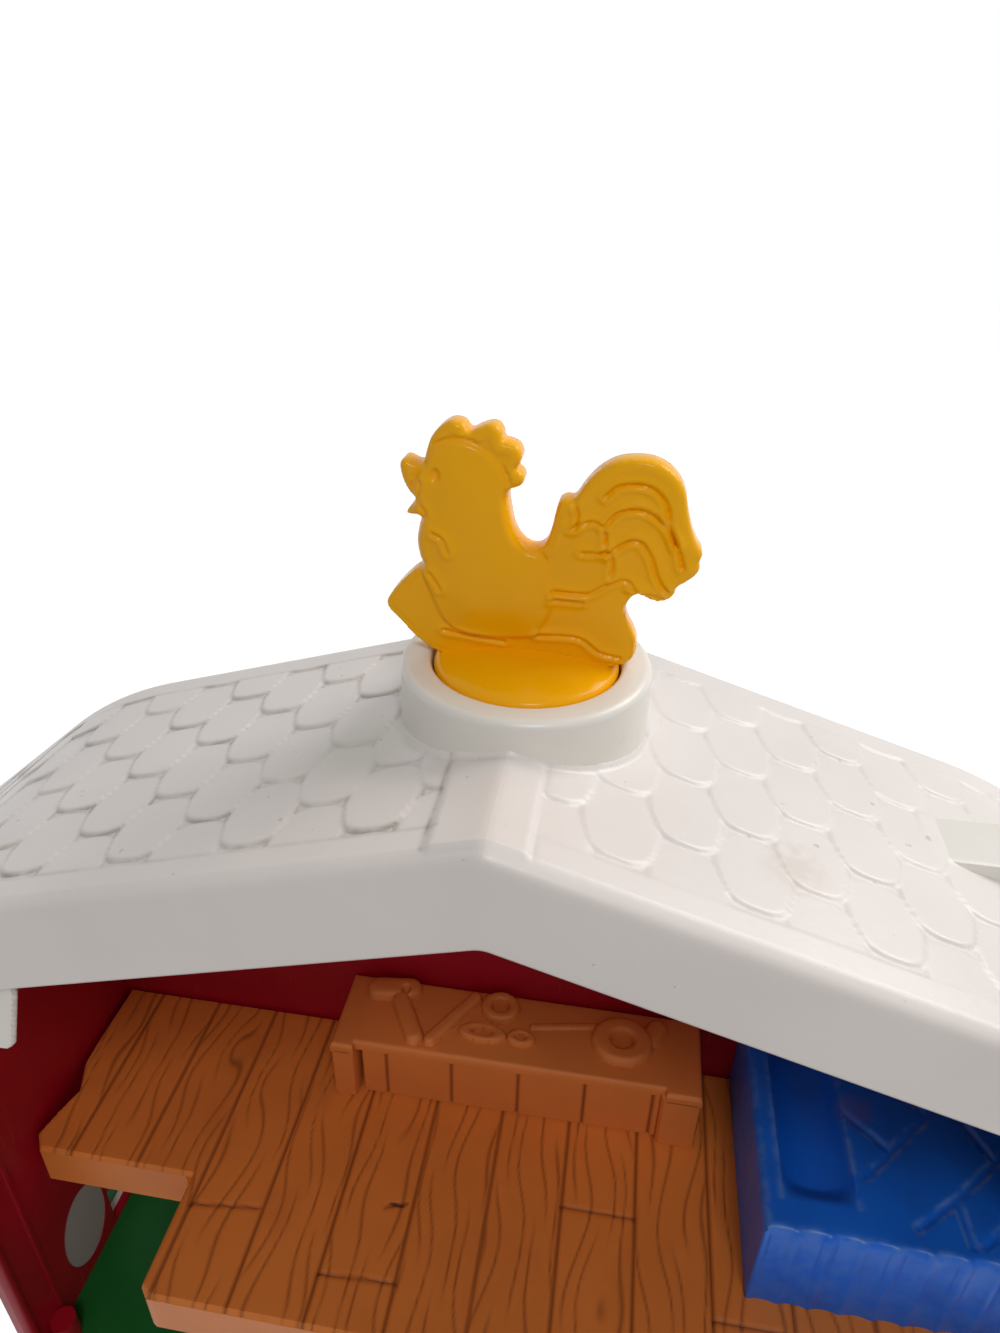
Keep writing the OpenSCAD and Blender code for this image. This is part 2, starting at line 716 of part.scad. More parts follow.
// ---------------------------------------------------------------- workbench
bench_top = loft_z + bench_h;
bench_y0 = front_in - 0.3 - bench_d;
bench_leg = 12.5;
bench_top_t = 5;
board_set = 6;
tool_t = 3;
module tool_bar(p, angle, length, width) {
    translate([p[0], p[1]]) rotate([0, 0, angle]) {
        translate([0, -width / 2]) square([length, width]);
        circle(width / 2);
        translate([length, 0]) circle(width / 2);
    }
}
module bench_tools() {
    translate([0, bench_y0, bench_top - 0.5]) linear_extrude(height = tool_t + 0.5) {
        // Hammer
        tool_bar([-36.5, 11], 120, 16, 5);
        tool_bar([-54, 29], 8, 12, 8);
        // File
        tool_bar([-30.5, 10], 57, 24, 4.4);
        // Nut
        difference() {
            rounded_square([-14.5, 21.5], [-1, 33.5], 4);
            rounded_square([-10.5, 25], [-5, 30], 1.5);
        }
        // Pliers
        difference() {
            rounded_square([-21, 12.5], [-4, 19.5], 3);
            rounded_square([-16.5, 14.8], [-8.5, 17.2], 1);
        }
        translate([1.5, 16]) circle(4);
        // Rule
        tool_bar([5, 22.2], 10, 23, 2);
        // Roll of tape
        difference() {
            translate([37.4, 20.8]) circle(10);
            translate([37.4, 20.8]) circle(3.6);
        }
        tool_bar([47, 24], 59, 6, 6);
    }
}
module workbench() {
    color("peru") union() {
        bench_tools();
        block([-bench_w / 2, bench_y0 + board_set, bench_top - bench_top_t],
            [bench_w / 2, front_in - 0.3, bench_top]);
        for (x = [-bench_w / 2, bench_w / 2 - bench_leg])
            block([x, bench_y0, loft_z], [x + bench_leg, front_in - 0.3, bench_top]);
        difference() {
            block([-bench_w / 2 + 5, bench_y0 + board_set, loft_z],
                [bench_w / 2 - 5, bench_y0 + board_set + 4, bench_top - 1]);
            for (x = [-bench_w / 2 + bench_leg + 4:plank_w:bench_w / 2 - bench_leg])
                block([x - 0.5, bench_y0 + board_set - 1, loft_z - 1],
                    [x + 0.5, bench_y0 + board_set + 0.9, bench_top]);
        }
    }
}

// ---------------------------------------------------------------- stone deck
deck_top = loft_z + deck_h;
deck_right = inner_x - 0.4;
deck_y0 = front_in - 0.4 - deck_d;
channel_x0 = deck_x + channel_wall;
channel_x1 = channel_x0 + channel_w;
flute_r = 3;
module stone_deck() {
    color("royalblue") difference() {
        union() {
            in_xz(deck_y0, front_in - 0.4)
                rounded_square([deck_x, loft_z], [deck_right, deck_top], 2);
            block([deck_x, deck_y0, loft_z], [deck_right, front_in - 0.4, loft_z + 6]);
            // Fluted front below the channel
            for (x = [deck_x + flute_r:2 * flute_r:channel_x1])
                translate([x, deck_y0 + 0.6, loft_z]) cylinder(r = flute_r, h = deck_h - 8);
        }
        // Channel: a round-bottomed groove that falls to the front
        translate([(channel_x0 + channel_x1) / 2, deck_y0 + 15, deck_top]) rotate([-86, 0, 0])
            cylinder(r = channel_w / 2, h = deck_d);
        block([channel_x0, deck_y0 + 15, deck_top - 10], [channel_x1, front_in, deck_top + 5]);
        // Hollow below the deck
        block([channel_x1 + 5, deck_y0 + 4, loft_z - 1], [deck_right - 3, front_in - 4, deck_top - 4]);
    }
}

// ---------------------------------------------------------------- front doors
trim_t = 2.4;
hinge_y = wall_y1 + trim_t + 0.6 + post_r;
hinge_x = door_w / 2 + post_r - 0.4;
leaf_y0 = hinge_y - leaf_t / 2;
leaf_z0 = door_sill + 1.6;
leaf_z1 = door_sill + door_h - door_cut + 1;
lug_h = 3.4;
// Radial room for the lugs where a leaf stops above and below its post
lug_clear = 1;
lug_z = [leaf_z0 - 0.3 - lug_h, leaf_z1 + 0.3];
// A pair of lugs, above and below a post, with the bores for its pins
module lugs(x, z0, z1, y_axis, y_wall) {
    for (z = [z0 - 0.3 - lug_h, z1 + 0.3]) difference() {
        union() {
            translate([x, y_axis, z]) cylinder(r = post_r, h = lug_h);
            block([x - post_r, y_wall, z], [x + post_r, y_axis, z + lug_h]);
        }
        translate([x, y_axis, z - 1]) cylinder(r = pin_r + pin_clear, h = lug_h + 2);
    }
}
// Hinge post of a leaf, with its two stub pins
module hinge_post(x, z0, z1, y_axis) {
    translate([x, y_axis, z0]) cylinder(r = post_r, h = z1 - z0);
    translate([x, y_axis, z0 - 0.3 - lug_h + 0.4]) cylinder(r = pin_r, h = z1 - z0 + 2 * (lug_h - 0.1));
}
module door_surround() {
    color("white") difference() {
        union() {
            in_xz(wall_y1, wall_y1 + trim_t) difference() {
                door_outline(trim_w);
                door_outline(0);
                translate([-300, 0]) square([600, base_h]);
            }
            for (side = [-1, 1]) lugs(side * hinge_x, leaf_z0, leaf_z1, hinge_y, wall_y1 + trim_t - 0.5);
        }
        block([-door_w, wall_y1 - 1, 0], [door_w, wall_y1 + 30, base_h]);
    }
}
module leaf_2d() {
    w = door_w / 2;
    polygon([[0.4, leaf_z0], [hinge_x, leaf_z0], [hinge_x, leaf_z1],
        [w - door_cut + 2, door_sill + door_h - 1], [0.4, door_sill + door_h - 1]]);
}
brace_t = 1.2;
brace_w = 6;
knob_r = 4;
knob_l = 7.5;
module right_leaf() {
    difference() {
        union() {
            in_xz(leaf_y0, leaf_y0 + leaf_t) leaf_2d();
            // Raised frame and cross brace
            in_xz(leaf_y0 + leaf_t - 0.2, leaf_y0 + leaf_t + brace_t) intersection() {
                leaf_2d();
                union() {
                    difference() {
                        leaf_2d();
                        translate([brace_w, leaf_z0 + brace_w])
                            square([hinge_x - 2 * brace_w - 2, door_h - 2 * brace_w - 3]);
                    }
                    w = hinge_x - 2;
                    h = door_h - 2;
                    a = atan(h / w);
                    translate([w / 2 + 0.4, leaf_z0 + h / 2]) for (m = [-a, a])
                        rotate(m) square([sqrt(w * w + h * h), brace_w], center = true);
                }
            }
        }
        // The leaf stops short of its hinge post above and below it
        translate([hinge_x, hinge_y, leaf_z0 - 2 * lug_h]) cylinder(r = post_r + lug_clear, h = 2 * lug_h);
        translate([hinge_x, hinge_y, leaf_z1]) cylinder(r = post_r + lug_clear, h = door_cut);
    }
    hinge_post(hinge_x, leaf_z0, leaf_z1, hinge_y);
    // Knob
    translate([brace_w, leaf_y0 + leaf_t, door_sill + door_h / 2 - brace_w]) rotate([-90, 0, 0]) {
        cylinder(r = 0.6 * knob_r, h = knob_l);
        translate([0, 0, 0.6 * knob_l]) cylinder(r = knob_r, h = 0.4 * knob_l);
    }
}
module right_barn_door() {
    color("white") right_leaf();
}
module left_barn_door() {
    color("white") mirror([1, 0, 0]) right_leaf();
}

// ---------------------------------------------------------------- hayloft hatch
hatch_hinge_x = hatch_w / 2 + post_r - 0.4;
shutter_z0 = hatch_z + lug_h + 1.5;
shutter_z1 = hatch_z + hatch_h - lug_h - 1.5;
module hatch_surround() {
    color("white") {
        in_xz(wall_y1, wall_y1 + trim_t) difference() {
            hatch_outline(trim_w);
            hatch_outline(0);
        }
        for (side = [-1, 1])
            lugs(side * hatch_hinge_x, shutter_z0, shutter_z1, hinge_y, wall_y1 + trim_t - 0.5);
    }
}
module right_leaf_shutter() {
    difference() {
        union() {
            in_xz(leaf_y0, leaf_y0 + leaf_t)
                rect([0.4, hatch_z + 0.5], [hatch_hinge_x, hatch_z + hatch_h - 0.5]);
            in_xz(leaf_y0 + leaf_t - 0.2, leaf_y0 + leaf_t + brace_t) difference() {
                rect([0.4, hatch_z + 0.5], [hatch_hinge_x, hatch_z + hatch_h - 0.5]);
                rect([4, hatch_z + 5], [hatch_hinge_x - 6, hatch_z + hatch_h / 2 - 2]);
                rect([4, hatch_z + hatch_h / 2 + 2], [hatch_hinge_x - 6, hatch_z + hatch_h - 5]);
            }
        }
        for (z = [[hatch_z - 1, shutter_z0], [shutter_z1, hatch_z + hatch_h + 1]])
            translate([hatch_hinge_x, hinge_y, z[0]]) cylinder(r = post_r + lug_clear, h = z[1] - z[0]);
    }
    hinge_post(hatch_hinge_x, shutter_z0, shutter_z1, hinge_y);
}
module right_shutter() {
    color("forestgreen") right_leaf_shutter();
}
module left_shutter() {
    color("forestgreen") mirror([1, 0, 0]) right_leaf_shutter();
}

// ---------------------------------------------------------------- stall in the left wall
stall_hinge_y = gate_mid + stall_w / 2 + post_r - 0.4;
stall_axis_x = -half_w - trim_t - 0.6 - post_r;
gate_z0 = base_h + 2 + lug_h + 1;
gate_z1 = gate_z0 + gate_h;
module stall_frame() {
    color("white") {
        in_yz(-half_w - trim_t, -half_w) difference() {
            stall_outline(trim_w - 1);
            stall_outline(0);
            translate([-200, 0]) square([400, base_h]);
        }
        for (z = [gate_z0 - 0.3 - lug_h, gate_z1 + 0.3]) difference() {
            union() {
                translate([stall_axis_x, stall_hinge_y, z]) cylinder(r = post_r, h = lug_h);
                block([stall_axis_x, stall_hinge_y - post_r, z],
                    [-half_w - trim_t + 0.5, stall_hinge_y + post_r, z + lug_h]);
            }
            translate([stall_axis_x, stall_hinge_y, z - 1]) cylinder(r = pin_r + pin_clear, h = lug_h + 2);
        }
    }
}
module stall_gate() {
    color("saddlebrown") {
        far = gate_mid - stall_w / 2 - 1.5;
        for (i = [0:2]) {
            z = gate_z0 + i * (gate_h - 8) / 2;
            block([stall_axis_x - 1.5, far, z], [stall_axis_x + 1.5, stall_hinge_y, z + 8]);
        }
        for (y = [far, gate_mid])
            block([stall_axis_x - 1.9, y, gate_z0], [stall_axis_x + 1.9, y + 6, gate_z1]);
        translate([stall_axis_x, stall_hinge_y, 0]) {
            translate([0, 0, gate_z0]) cylinder(r = post_r, h = gate_h);
            translate([0, 0, gate_z0 + 0.1 - lug_h]) cylinder(r = pin_r, h = gate_h + 2 * (lug_h - 0.1));
        }
    }
}

// ---------------------------------------------------------------- windows
bar_w = 3;
frame_w = 5;
// Frame with a cross of glazing bars, drawn round the origin
module window_cross(w, h) {
    difference() {
        square([w + 2 * frame_w, h + 2 * frame_w], center = true);
        square([w - 1, h - 1], center = true);
    }
    square([bar_w, h], center = true);
    square([w, bar_w], center = true);
}
module window_frame_front(x) {
    color("white") {
        in_xz(wall_y1, wall_y1 + trim_t) translate([x, window_z + window_s / 2])
            window_cross(window_s, window_s);
    }
}
module left_window_frame() {
    window_frame_front(-window_x);
}
module right_window_frame() {
    window_frame_front(window_x);
}
module side_window_frame() {
    color("white") in_yz(half_w, half_w + trim_t)
        translate([side_window_y, window_z + window_s / 2]) window_cross(side_window_w, window_s);
}

// ---------------------------------------------------------------- silo
silo_top = shoulder_z - roof_t - 0.3;
silo_t = 3;
silo_back = half_w + 0.3;
silo_sill = base_h + 5;
// Angles about the silo's axis, from +X: middle of the doorway, and half of its width
silo_door_a = 82;
silo_door_half = asin(silo_door_w / 2 / silo_r);
silo_hinge_a = silo_door_a - silo_door_half - 7;
silo_hinge_r = silo_r + 0.4 + post_r;
silo_leaf_t = 2.8;
silo_leaf_z0 = base_h + 0.5 + lug_h + 0.3;
silo_leaf_z1 = silo_sill + silo_door_h + 2;
module silo_d(r, h) {
    intersection() {
        cylinder(r = r, h = h);
        block([silo_back - silo_x, -r - 1, -1], [r + 1, r + 1, h + 1]);
    }
}
module silo_shell() {
    color("royalblue") translate([silo_x, silo_y, 0]) {
        difference() {
            translate([0, 0, base_h]) silo_d(silo_r, silo_top - base_h);
            translate([0, 0, base_h - 1]) cylinder(r = silo_r - silo_t, h = silo_top - base_h - silo_t + 1);
            // Doorway with an arched head
            rotate([0, 0, silo_door_a - 90]) in_xz(0, silo_r + 5) {
                translate([-silo_door_w / 2, silo_sill])
                    square([silo_door_w, silo_door_h - silo_door_w / 2]);
                translate([0, silo_sill + silo_door_h - silo_door_w / 2]) circle(silo_door_w / 2);
            }
        }
        rotate([0, 0, silo_hinge_a]) for (z = [silo_leaf_z0 - 0.3 - lug_h, silo_leaf_z1 + 0.3])
            difference() {
                union() {
                    translate([silo_hinge_r, 0, z]) cylinder(r = post_r, h = lug_h);
                    block([silo_r - silo_t + 0.5, -post_r, z], [silo_hinge_r, post_r, z + lug_h]);
                }
                translate([silo_hinge_r, 0, z - 1]) cylinder(r = pin_r + pin_clear, h = lug_h + 2);
            }
    }
}
module silo_door() {
    color("gold") translate([silo_x, silo_y, 0]) {
        r0 = silo_r + 0.4;
        sweep = 2 * silo_door_half + 10;
        difference() {
            rotate([0, 0, silo_hinge_a]) translate([0, 0, silo_leaf_z0])
                rotate_extrude(angle = sweep) translate([r0, 0])
                    square([silo_leaf_t, silo_leaf_z1 - silo_leaf_z0]);
            // Peephole
            rotate([0, 0, silo_door_a - 90]) in_xz(0, silo_r + 9)
                translate([0, silo_leaf_z1 - 15]) circle(5);
        }
        rotate([0, 0, silo_hinge_a]) translate([silo_hinge_r, 0, 0]) {
            translate([0, 0, silo_leaf_z0]) cylinder(r = post_r, h = silo_leaf_z1 - silo_leaf_z0);
            translate([0, 0, silo_leaf_z0 + 0.1 - lug_h])
                cylinder(r = pin_r, h = silo_leaf_z1 - silo_leaf_z0 + 2 * (lug_h - 0.1));
        }
        rotate([0, 0, silo_hinge_a + sweep - 6])
            translate([r0 + silo_leaf_t - 0.5, 0, (silo_leaf_z0 + silo_leaf_z1) / 2])
                rotate([0, 90, 0]) cylinder(r = 3, h = 5);
    }
}
cap_rim = 2;
cap_rim_h = 4;
cap_rib_w = 2;
finial_r = 5;
// Point of the dome at an angle a above its rim, moved inwards by n
function dome_point(a, n) = [
    (silo_r + cap_rim - 1 - n) * cos(a),
    cap_rim_h + (silo_cap_h - cap_rim_h - n) * sin(a)
];
module cap_section() {
    neck_z = silo_cap_h - 1;
    ball_z = silo_cap_h + 3;
    polygon(concat(
        [[silo_r + cap_rim, 0], [silo_r + cap_rim, cap_rim_h]],
        [for (a = [0:8:80]) dome_point(a, 0)],
        [[finial_r - 1, neck_z]],
        [for (a = [-30:20:70]) [finial_r * cos(a), ball_z + finial_r * sin(a)]],
        [[0, ball_z + finial_r]],
        [for (a = [90:-8:2]) dome_point(a, roof_t)],
        [[silo_r + cap_rim - 1 - roof_t, 0]]
    ));
}
module cap_rib_2d() {
    polygon(concat(
        [for (a = [8:8:72]) dome_point(a, -1)],
        [for (a = [72:-8:8]) dome_point(a, 1.2)]
    ));
}
module silo_cap() {
    color("gainsboro") translate([silo_x, silo_y, shoulder_z]) {
        rotate_extrude() cap_section();
        for (a = [0:45:315]) rotate([0, 0, a]) in_xz(-cap_rib_w / 2, cap_rib_w / 2) cap_rib_2d();
    }
}

base_tray();
base_feet();
base_screws();
left_wall();
right_wall();
front_wall();
roof_shell();
rooster_vane();
vane_retainer();
vane_screw();
loft_floor();
workbench();
stone_deck();
door_surround();
left_barn_door();
right_barn_door();
hatch_surround();
left_shutter();
right_shutter();
stall_frame();
stall_gate();
left_window_frame();
right_window_frame();
side_window_frame();
silo_shell();
silo_cap();
silo_door();
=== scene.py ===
"""Looks of a moulded toy barn, seen from above its open side.

Lengths are millimetres in the part's frame, and become metres where a mesh is made.
"""

import math

import bpy
import numpy as np
from mathutils import Matrix, Vector


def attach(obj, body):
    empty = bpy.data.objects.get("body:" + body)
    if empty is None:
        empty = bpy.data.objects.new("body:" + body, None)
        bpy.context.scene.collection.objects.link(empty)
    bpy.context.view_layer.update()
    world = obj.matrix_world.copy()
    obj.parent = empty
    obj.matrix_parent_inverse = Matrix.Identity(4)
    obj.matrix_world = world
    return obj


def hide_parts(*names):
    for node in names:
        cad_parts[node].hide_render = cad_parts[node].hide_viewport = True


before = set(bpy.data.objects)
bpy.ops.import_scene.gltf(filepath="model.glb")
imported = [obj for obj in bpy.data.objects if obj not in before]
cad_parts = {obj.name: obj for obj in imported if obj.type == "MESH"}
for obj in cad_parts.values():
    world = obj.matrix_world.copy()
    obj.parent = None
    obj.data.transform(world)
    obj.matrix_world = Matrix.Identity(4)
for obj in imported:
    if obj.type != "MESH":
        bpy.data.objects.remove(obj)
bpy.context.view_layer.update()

# ---------------------------------------------------------------- camera
# The photograph is taken from close above the open side, looking down and a
# little to the left, with the phone turned slightly.
yaw, pitch, roll = (math.radians(a) for a in (8.27, 29.96, 1.37))
ahead = Vector((-math.sin(yaw) * math.cos(pitch), math.cos(yaw) * math.cos(pitch), -math.sin(pitch)))
right = Vector((math.cos(yaw), math.sin(yaw), 0))
above = right.cross(ahead)
camera = bpy.data.objects.new("camera", bpy.data.cameras.new("camera"))
bpy.context.collection.objects.link(camera)
camera.data.lens = 24.30
camera.data.sensor_width = 36
camera.data.clip_start = 0.01
camera.matrix_world = Matrix.Translation((0.021574, -0.183845, 0.414035)) @ Matrix((
    math.cos(roll) * right + math.sin(roll) * above,
    math.cos(roll) * above - math.sin(roll) * right,
    -ahead,
)).transposed().to_4x4()
bpy.context.scene.camera = camera


# ---------------------------------------------------------------- light
# Soft daylight from the upper right, a little behind the toy, and a pale room.
# The background of the photograph is white.
class Signal:
    """Output of a shader node, on which arithmetic makes Math nodes."""

    def __init__(self, paint, socket):
        self.paint = paint
        self.socket = socket

    def math(self, operation, first, second=0.0):
        return self.paint.node("ShaderNodeMath", {"operation": operation}, {0: first, 1: second})

    def __add__(self, other):
        return self.math("ADD", self, other)

    def __radd__(self, other):
        return self.math("ADD", other, self)

    def __sub__(self, other):
        return self.math("SUBTRACT", self, other)

    def __rsub__(self, other):
        return self.math("SUBTRACT", other, self)

    def __mul__(self, other):
        return self.math("MULTIPLY", self, other)

    def __rmul__(self, other):
        return self.math("MULTIPLY", other, self)

    def __truediv__(self, other):
        return self.math("DIVIDE", self, other)

    def __rtruediv__(self, other):
        return self.math("DIVIDE", other, self)

    def __pow__(self, other):
        return self.math("POWER", self, other)

    def most(self, other):
        return self.math("MAXIMUM", self, other)

    def ramp(self, low, high):
        """0 below low, 1 above high, and smooth between them; low may be the higher one."""
        return self.paint.node(
            "ShaderNodeMapRange", {"interpolation_type": "SMOOTHSTEP"}, {0: self, 1: low, 2: high})


class Paint:
    """Node tree of a material or world."""

    def __init__(self, owner):
        owner.use_nodes = True
        self.owner = owner
        self.tree = owner.node_tree

    def node(self, kind, settings=None, sockets=None, out=0):
        """New node with its settings and sockets set or linked; gives one of its outputs."""
        made = self.tree.nodes.new(kind)
        for name, value in (settings or {}).items():
            setattr(made, name, value)
        for name, value in (sockets or {}).items():
            if isinstance(value, Signal):
                self.tree.links.new(value.socket, made.inputs[name])
            else:
                made.inputs[name].default_value = value
        return Signal(self, made.outputs[out])

    def join(self, value, kind, name):
        """Link a signal to a socket of the tree's own node of this kind."""
        target = next(n for n in self.tree.nodes if n.bl_idname == kind)
        self.tree.links.new(value.socket, target.inputs[name])

    def seen(self):
        """1 for rays that come straight from the camera or by way of gloss or glass."""
        outs = [self.node("ShaderNodeLightPath", out=o)
                for o in ("Is Camera Ray", "Is Glossy Ray", "Is Transmission Ray")]
        return outs[0].most(outs[1]).most(outs[2])


world = bpy.data.worlds.new("room")
bpy.context.scene.world = world
sky = Paint(world)
room = sky.node("ShaderNodeBackground", sockets={"Color": (1.0, 0.985, 0.97, 1), "Strength": 0.27})
white = sky.node("ShaderNodeBackground", sockets={"Color": (1, 1, 1, 1), "Strength": 1.0})
sky.join(sky.node("ShaderNodeMixShader", sockets={0: sky.seen(), 1: room, 2: white}),
         "ShaderNodeOutputWorld", "Surface")

bpy.ops.mesh.primitive_plane_add(size=6, location=(0, 0, 0))
floor = bpy.context.object
floor.name = "floor"
ground = Paint(bpy.data.materials.new("floor"))
cloth = ground.node("ShaderNodeBsdfDiffuse", sockets={"Color": (0.86, 0.855, 0.85, 1)})
dim = ground.node("ShaderNodeBsdfDiffuse", sockets={"Color": (0.3, 0.3, 0.3, 1)})
glow = ground.node("ShaderNodeEmission", sockets={"Color": (1, 1, 1, 1), "Strength": 0.93})
lifted = ground.node("ShaderNodeAddShader", sockets={0: dim, 1: glow})
ground.join(ground.node("ShaderNodeMixShader", sockets={0: ground.seen(), 1: cloth, 2: lifted}),
            "ShaderNodeOutputMaterial", "Surface")
floor.data.materials.append(ground.owner)


def lamp(name, place, target, size, watts, tint=(1, 1, 1)):
    """Square area lamp, in metres, turned to a target."""
    made = bpy.data.objects.new(name, bpy.data.lights.new(name, "AREA"))
    made.data.size = size
    made.data.energy = watts
    made.data.color = tint
    made.location = place
    made.rotation_euler = (Vector(target) - Vector(place)).to_track_quat("-Z", "Y").to_euler()
    bpy.context.collection.objects.link(made)


lamp("window", (0.85, 0.5, 1.1), (0, 0, 0.24), 0.7, 9.5, (1.0, 0.98, 0.95))
lamp("fill", (0.2, -0.72, 1.2), (0, 0, 0.12), 0.3, 3.6, (1.0, 0.97, 0.94))

# ---------------------------------------------------------------- roof
# One white moulding: shallow upper slopes bend into steeper lower ones, with
# fish-scale shingles between plain borders, a deep fascia, a ridge cap and a
# round collar for the vane. The joints of the shingles are darkened with dirt and
# painted shade, more on the left slope, which lies in shade.
RIDGE = 296.0
SHALLOW, STEEP = math.radians(17), math.radians(40)
BEND_R = 110.0
TANGENT = BEND_R * math.tan((STEEP - SHALLOW) / 2)
UPPER = 142 / math.cos(SHALLOW) - TANGENT
BEND = BEND_R * (STEEP - SHALLOW)
SLOPE = UPPER + BEND + (206 - 142) / math.cos(STEEP) - TANGENT


def roof_line(s):
    """X, Z and slope angle of the roof's outer line at a distance s from the ridge.

    Two straights, at 17 and 40 degrees, joined by an arc of radius 110 mm."""
    turn = SHALLOW + np.clip((s - UPPER) / BEND_R, 0, STEEP - SHALLOW)
    top = np.minimum(s, UPPER)
    low = np.maximum(s - UPPER - BEND, 0)
    x = top * np.cos(SHALLOW) + BEND_R * (np.sin(turn) - np.sin(SHALLOW)) + low * np.cos(STEEP)
    z = RIDGE - top * np.sin(SHALLOW) - BEND_R * (np.cos(SHALLOW) - np.cos(turn)) - low * np.sin(STEEP)
    return x, z, turn


def smooth(t):
    """Smooth step from 0 to 1 while t goes from 0 to 1."""
    t = np.clip(t, 0, 1)
    return t * t * (3 - 2 * t)


def shingles(s, y, seed):
    """Height of the shingles, and their dark rim lines of dirt and painted shadow, at a distance s down the
    slope and a depth y.

    Ovals 24 mm long lie in columns 15.4 mm apart, staggered by half their length, with
    their feet towards the open side. A point belongs to the oval in which
    q = |a| ** 2.3 + |b| ** 3.2 is least, a and b being its offsets over the half sizes 9.3
    and 12. The foot stands 0.85 mm proud, before each slope's own factor. A dark line along
    the rim is partly dirt and partly painted shadow, stronger on the near side under the raised foot."""
    rng = np.random.default_rng(seed)
    lift = rng.normal(1, 0.1, (20, 8))
    dark = rng.uniform(0.35, 1, (20, 8))
    best = np.full(s.shape, 9.0)
    height, shadow_and_dirt = np.zeros_like(s), np.zeros_like(s)
    for parity in (0, 1):
        column = np.round((s - 27.5 - 15.4 * parity) / 30.8)
        row = np.round((y + 30 - 12 * parity) / 24)
        a = (s - 27.5 - 15.4 * parity - 30.8 * column) / 9.3
        b = (y + 30 - 12 * parity - 24 * row) / 12.0
        which = ((2 * column + parity).astype(int) % 20, row.astype(int) % 8)
        q = np.abs(a) ** 2.3 + np.abs(b) ** 3.2
        rim = 9.3 * (1 - q ** 0.42)
        dome = lift[which] * (0.42 - 0.43 * b) * (0.35 + 0.65 * smooth(rim / 1.1))
        # Painted shadow: the rim line is stronger on the near side, below the raised foot
        near_side = 0.35 + 0.65 * smooth(0.6 - b)
        shade = np.exp(-((rim + 0.1) / 0.62) ** 2) * near_side * dark[which]
        mine = q < best
        height = np.where(mine, np.where(rim > 0, dome, 0.0) - 0.12 * np.exp(-(rim / 0.5) ** 2), height)
        shadow_and_dirt = np.where(mine, shade, np.maximum(shadow_and_dirt, 0))
        best = np.minimum(best, q)
    return height, shadow_and_dirt


def grid_quads(rows, columns, closed=False):
    """Quads of a grid whose points run column by column in each row."""
    last = columns if closed else columns - 1
    i, j = np.meshgrid(np.arange(rows - 1), np.arange(last), indexing="ij")
    k = (j + 1) % columns
    here, after = i * columns, (i + 1) * columns
    return np.stack([here + j, here + k, after + k, after + j], -1).reshape(-1, 4)


def build(name, points, faces, paint, body, nodes, angle=38, marks=None):
    """Mesh piece from points in millimetres, shaded smooth below an edge angle."""
    mesh = bpy.data.meshes.new(name)
    mesh.from_pydata((np.asarray(points) / 1000).tolist(), [], [list(map(int, f)) for f in faces])
    mesh.validate()
    mesh.shade_smooth()
    mesh.set_sharp_from_angle(angle=math.radians(angle))
    for key, values in (marks or {}).items():
        mesh.attributes.new(key, "FLOAT", "POINT").data.foreach_set("value", np.asarray(values, np.float32))
    piece = bpy.data.objects.new(name, mesh)
    bpy.context.collection.objects.link(piece)
    mesh.materials.append(paint.owner)
    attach(piece, body)
    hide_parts(*nodes)
    return piece


def rgb(r, g, b):
    """Linear colour from the 0 to 255 values of the photograph."""
    return tuple(((c / 255 + 0.055) / 1.055) ** 2.4 for c in (r, g, b)) + (1.0,)


class Plastic(Paint):
    """Moulded plastic: cloudy tint, fine moulding texture and uneven gloss."""

    def __init__(self, name, colour, rough=0.36, cloud=0.08, **constants):
        super().__init__(bpy.data.materials.new(name))
        shader = self.tree.nodes["Principled BSDF"]
        for key, value in constants.items():
            shader.inputs[key.replace("_", " ")].default_value = value
        place = self.node("ShaderNodeTexCoord", out="Object")
        self.mm = self.node("ShaderNodeVectorMath", {"operation": "SCALE"}, {0: place, "Scale": 1000.0})
        slow, fine = self.noise(42, 3), self.noise(0.8, 2)
        pale = tuple(min(1.0, c * (1 + cloud)) for c in colour[:3]) + (1.0,)
        deep = tuple(c * (1 - cloud) for c in colour[:3]) + (1.0,)
        self.colour = self.mix(slow.ramp(0.3, 0.7), deep, pale)
        self.rough = rough + 0.1 * self.noise(9, 4) - 0.05
        self.height = 0.02 * fine

    def noise(self, size, detail=2.0, stretch=(1, 1, 1)):
        """Noise whose features are about this many millimetres across."""
        scale = tuple(1 / (size * k) for k in stretch)
        placed = self.node("ShaderNodeMapping", sockets={0: self.mm, "Scale": scale})
        return self.node("ShaderNodeTexNoise", sockets={"Vector": placed, "Scale": 1.0, "Detail": detail})

    def mix(self, factor, first, second):
        return self.node("ShaderNodeMix", {"data_type": "RGBA"}, {0: factor, 6: first, 7: second}, out=2)

    def axis(self, which):
        return self.node("ShaderNodeSeparateXYZ", sockets={0: self.mm}, out=which)

    def mark(self, name):
        """A piece's own attribute."""
        return self.node("ShaderNodeAttribute", {"attribute_name": name}, out="Fac")

    def spot(self, place, size, soft=0.4):
        """1 inside an ellipsoid, fading out over its rim."""
        off = self.node("ShaderNodeVectorMath", {"operation": "SUBTRACT"}, {0: self.mm, 1: place})
        unit = self.node("ShaderNodeVectorMath", {"operation": "DIVIDE"}, {0: off, 1: size})
        length = self.node("ShaderNodeVectorMath", {"operation": "LENGTH"}, {0: unit}, out="Value")
        return length.ramp(1.0, 1 - soft)

    def lay(self, factor, colour):
        """Lay a colour over the present one, as far as the factor says."""
        self.colour = self.mix(factor, self.colour, colour)

    def finish(self):
        self.join(self.colour, "ShaderNodeBsdfPrincipled", "Base Color")
        self.join(self.rough, "ShaderNodeBsdfPrincipled", "Roughness")
        bump = self.node("ShaderNodeBump", sockets={"Height": self.height, "Distance": 0.001})
        self.join(bump, "ShaderNodeBsdfPrincipled", "Normal")
        return self


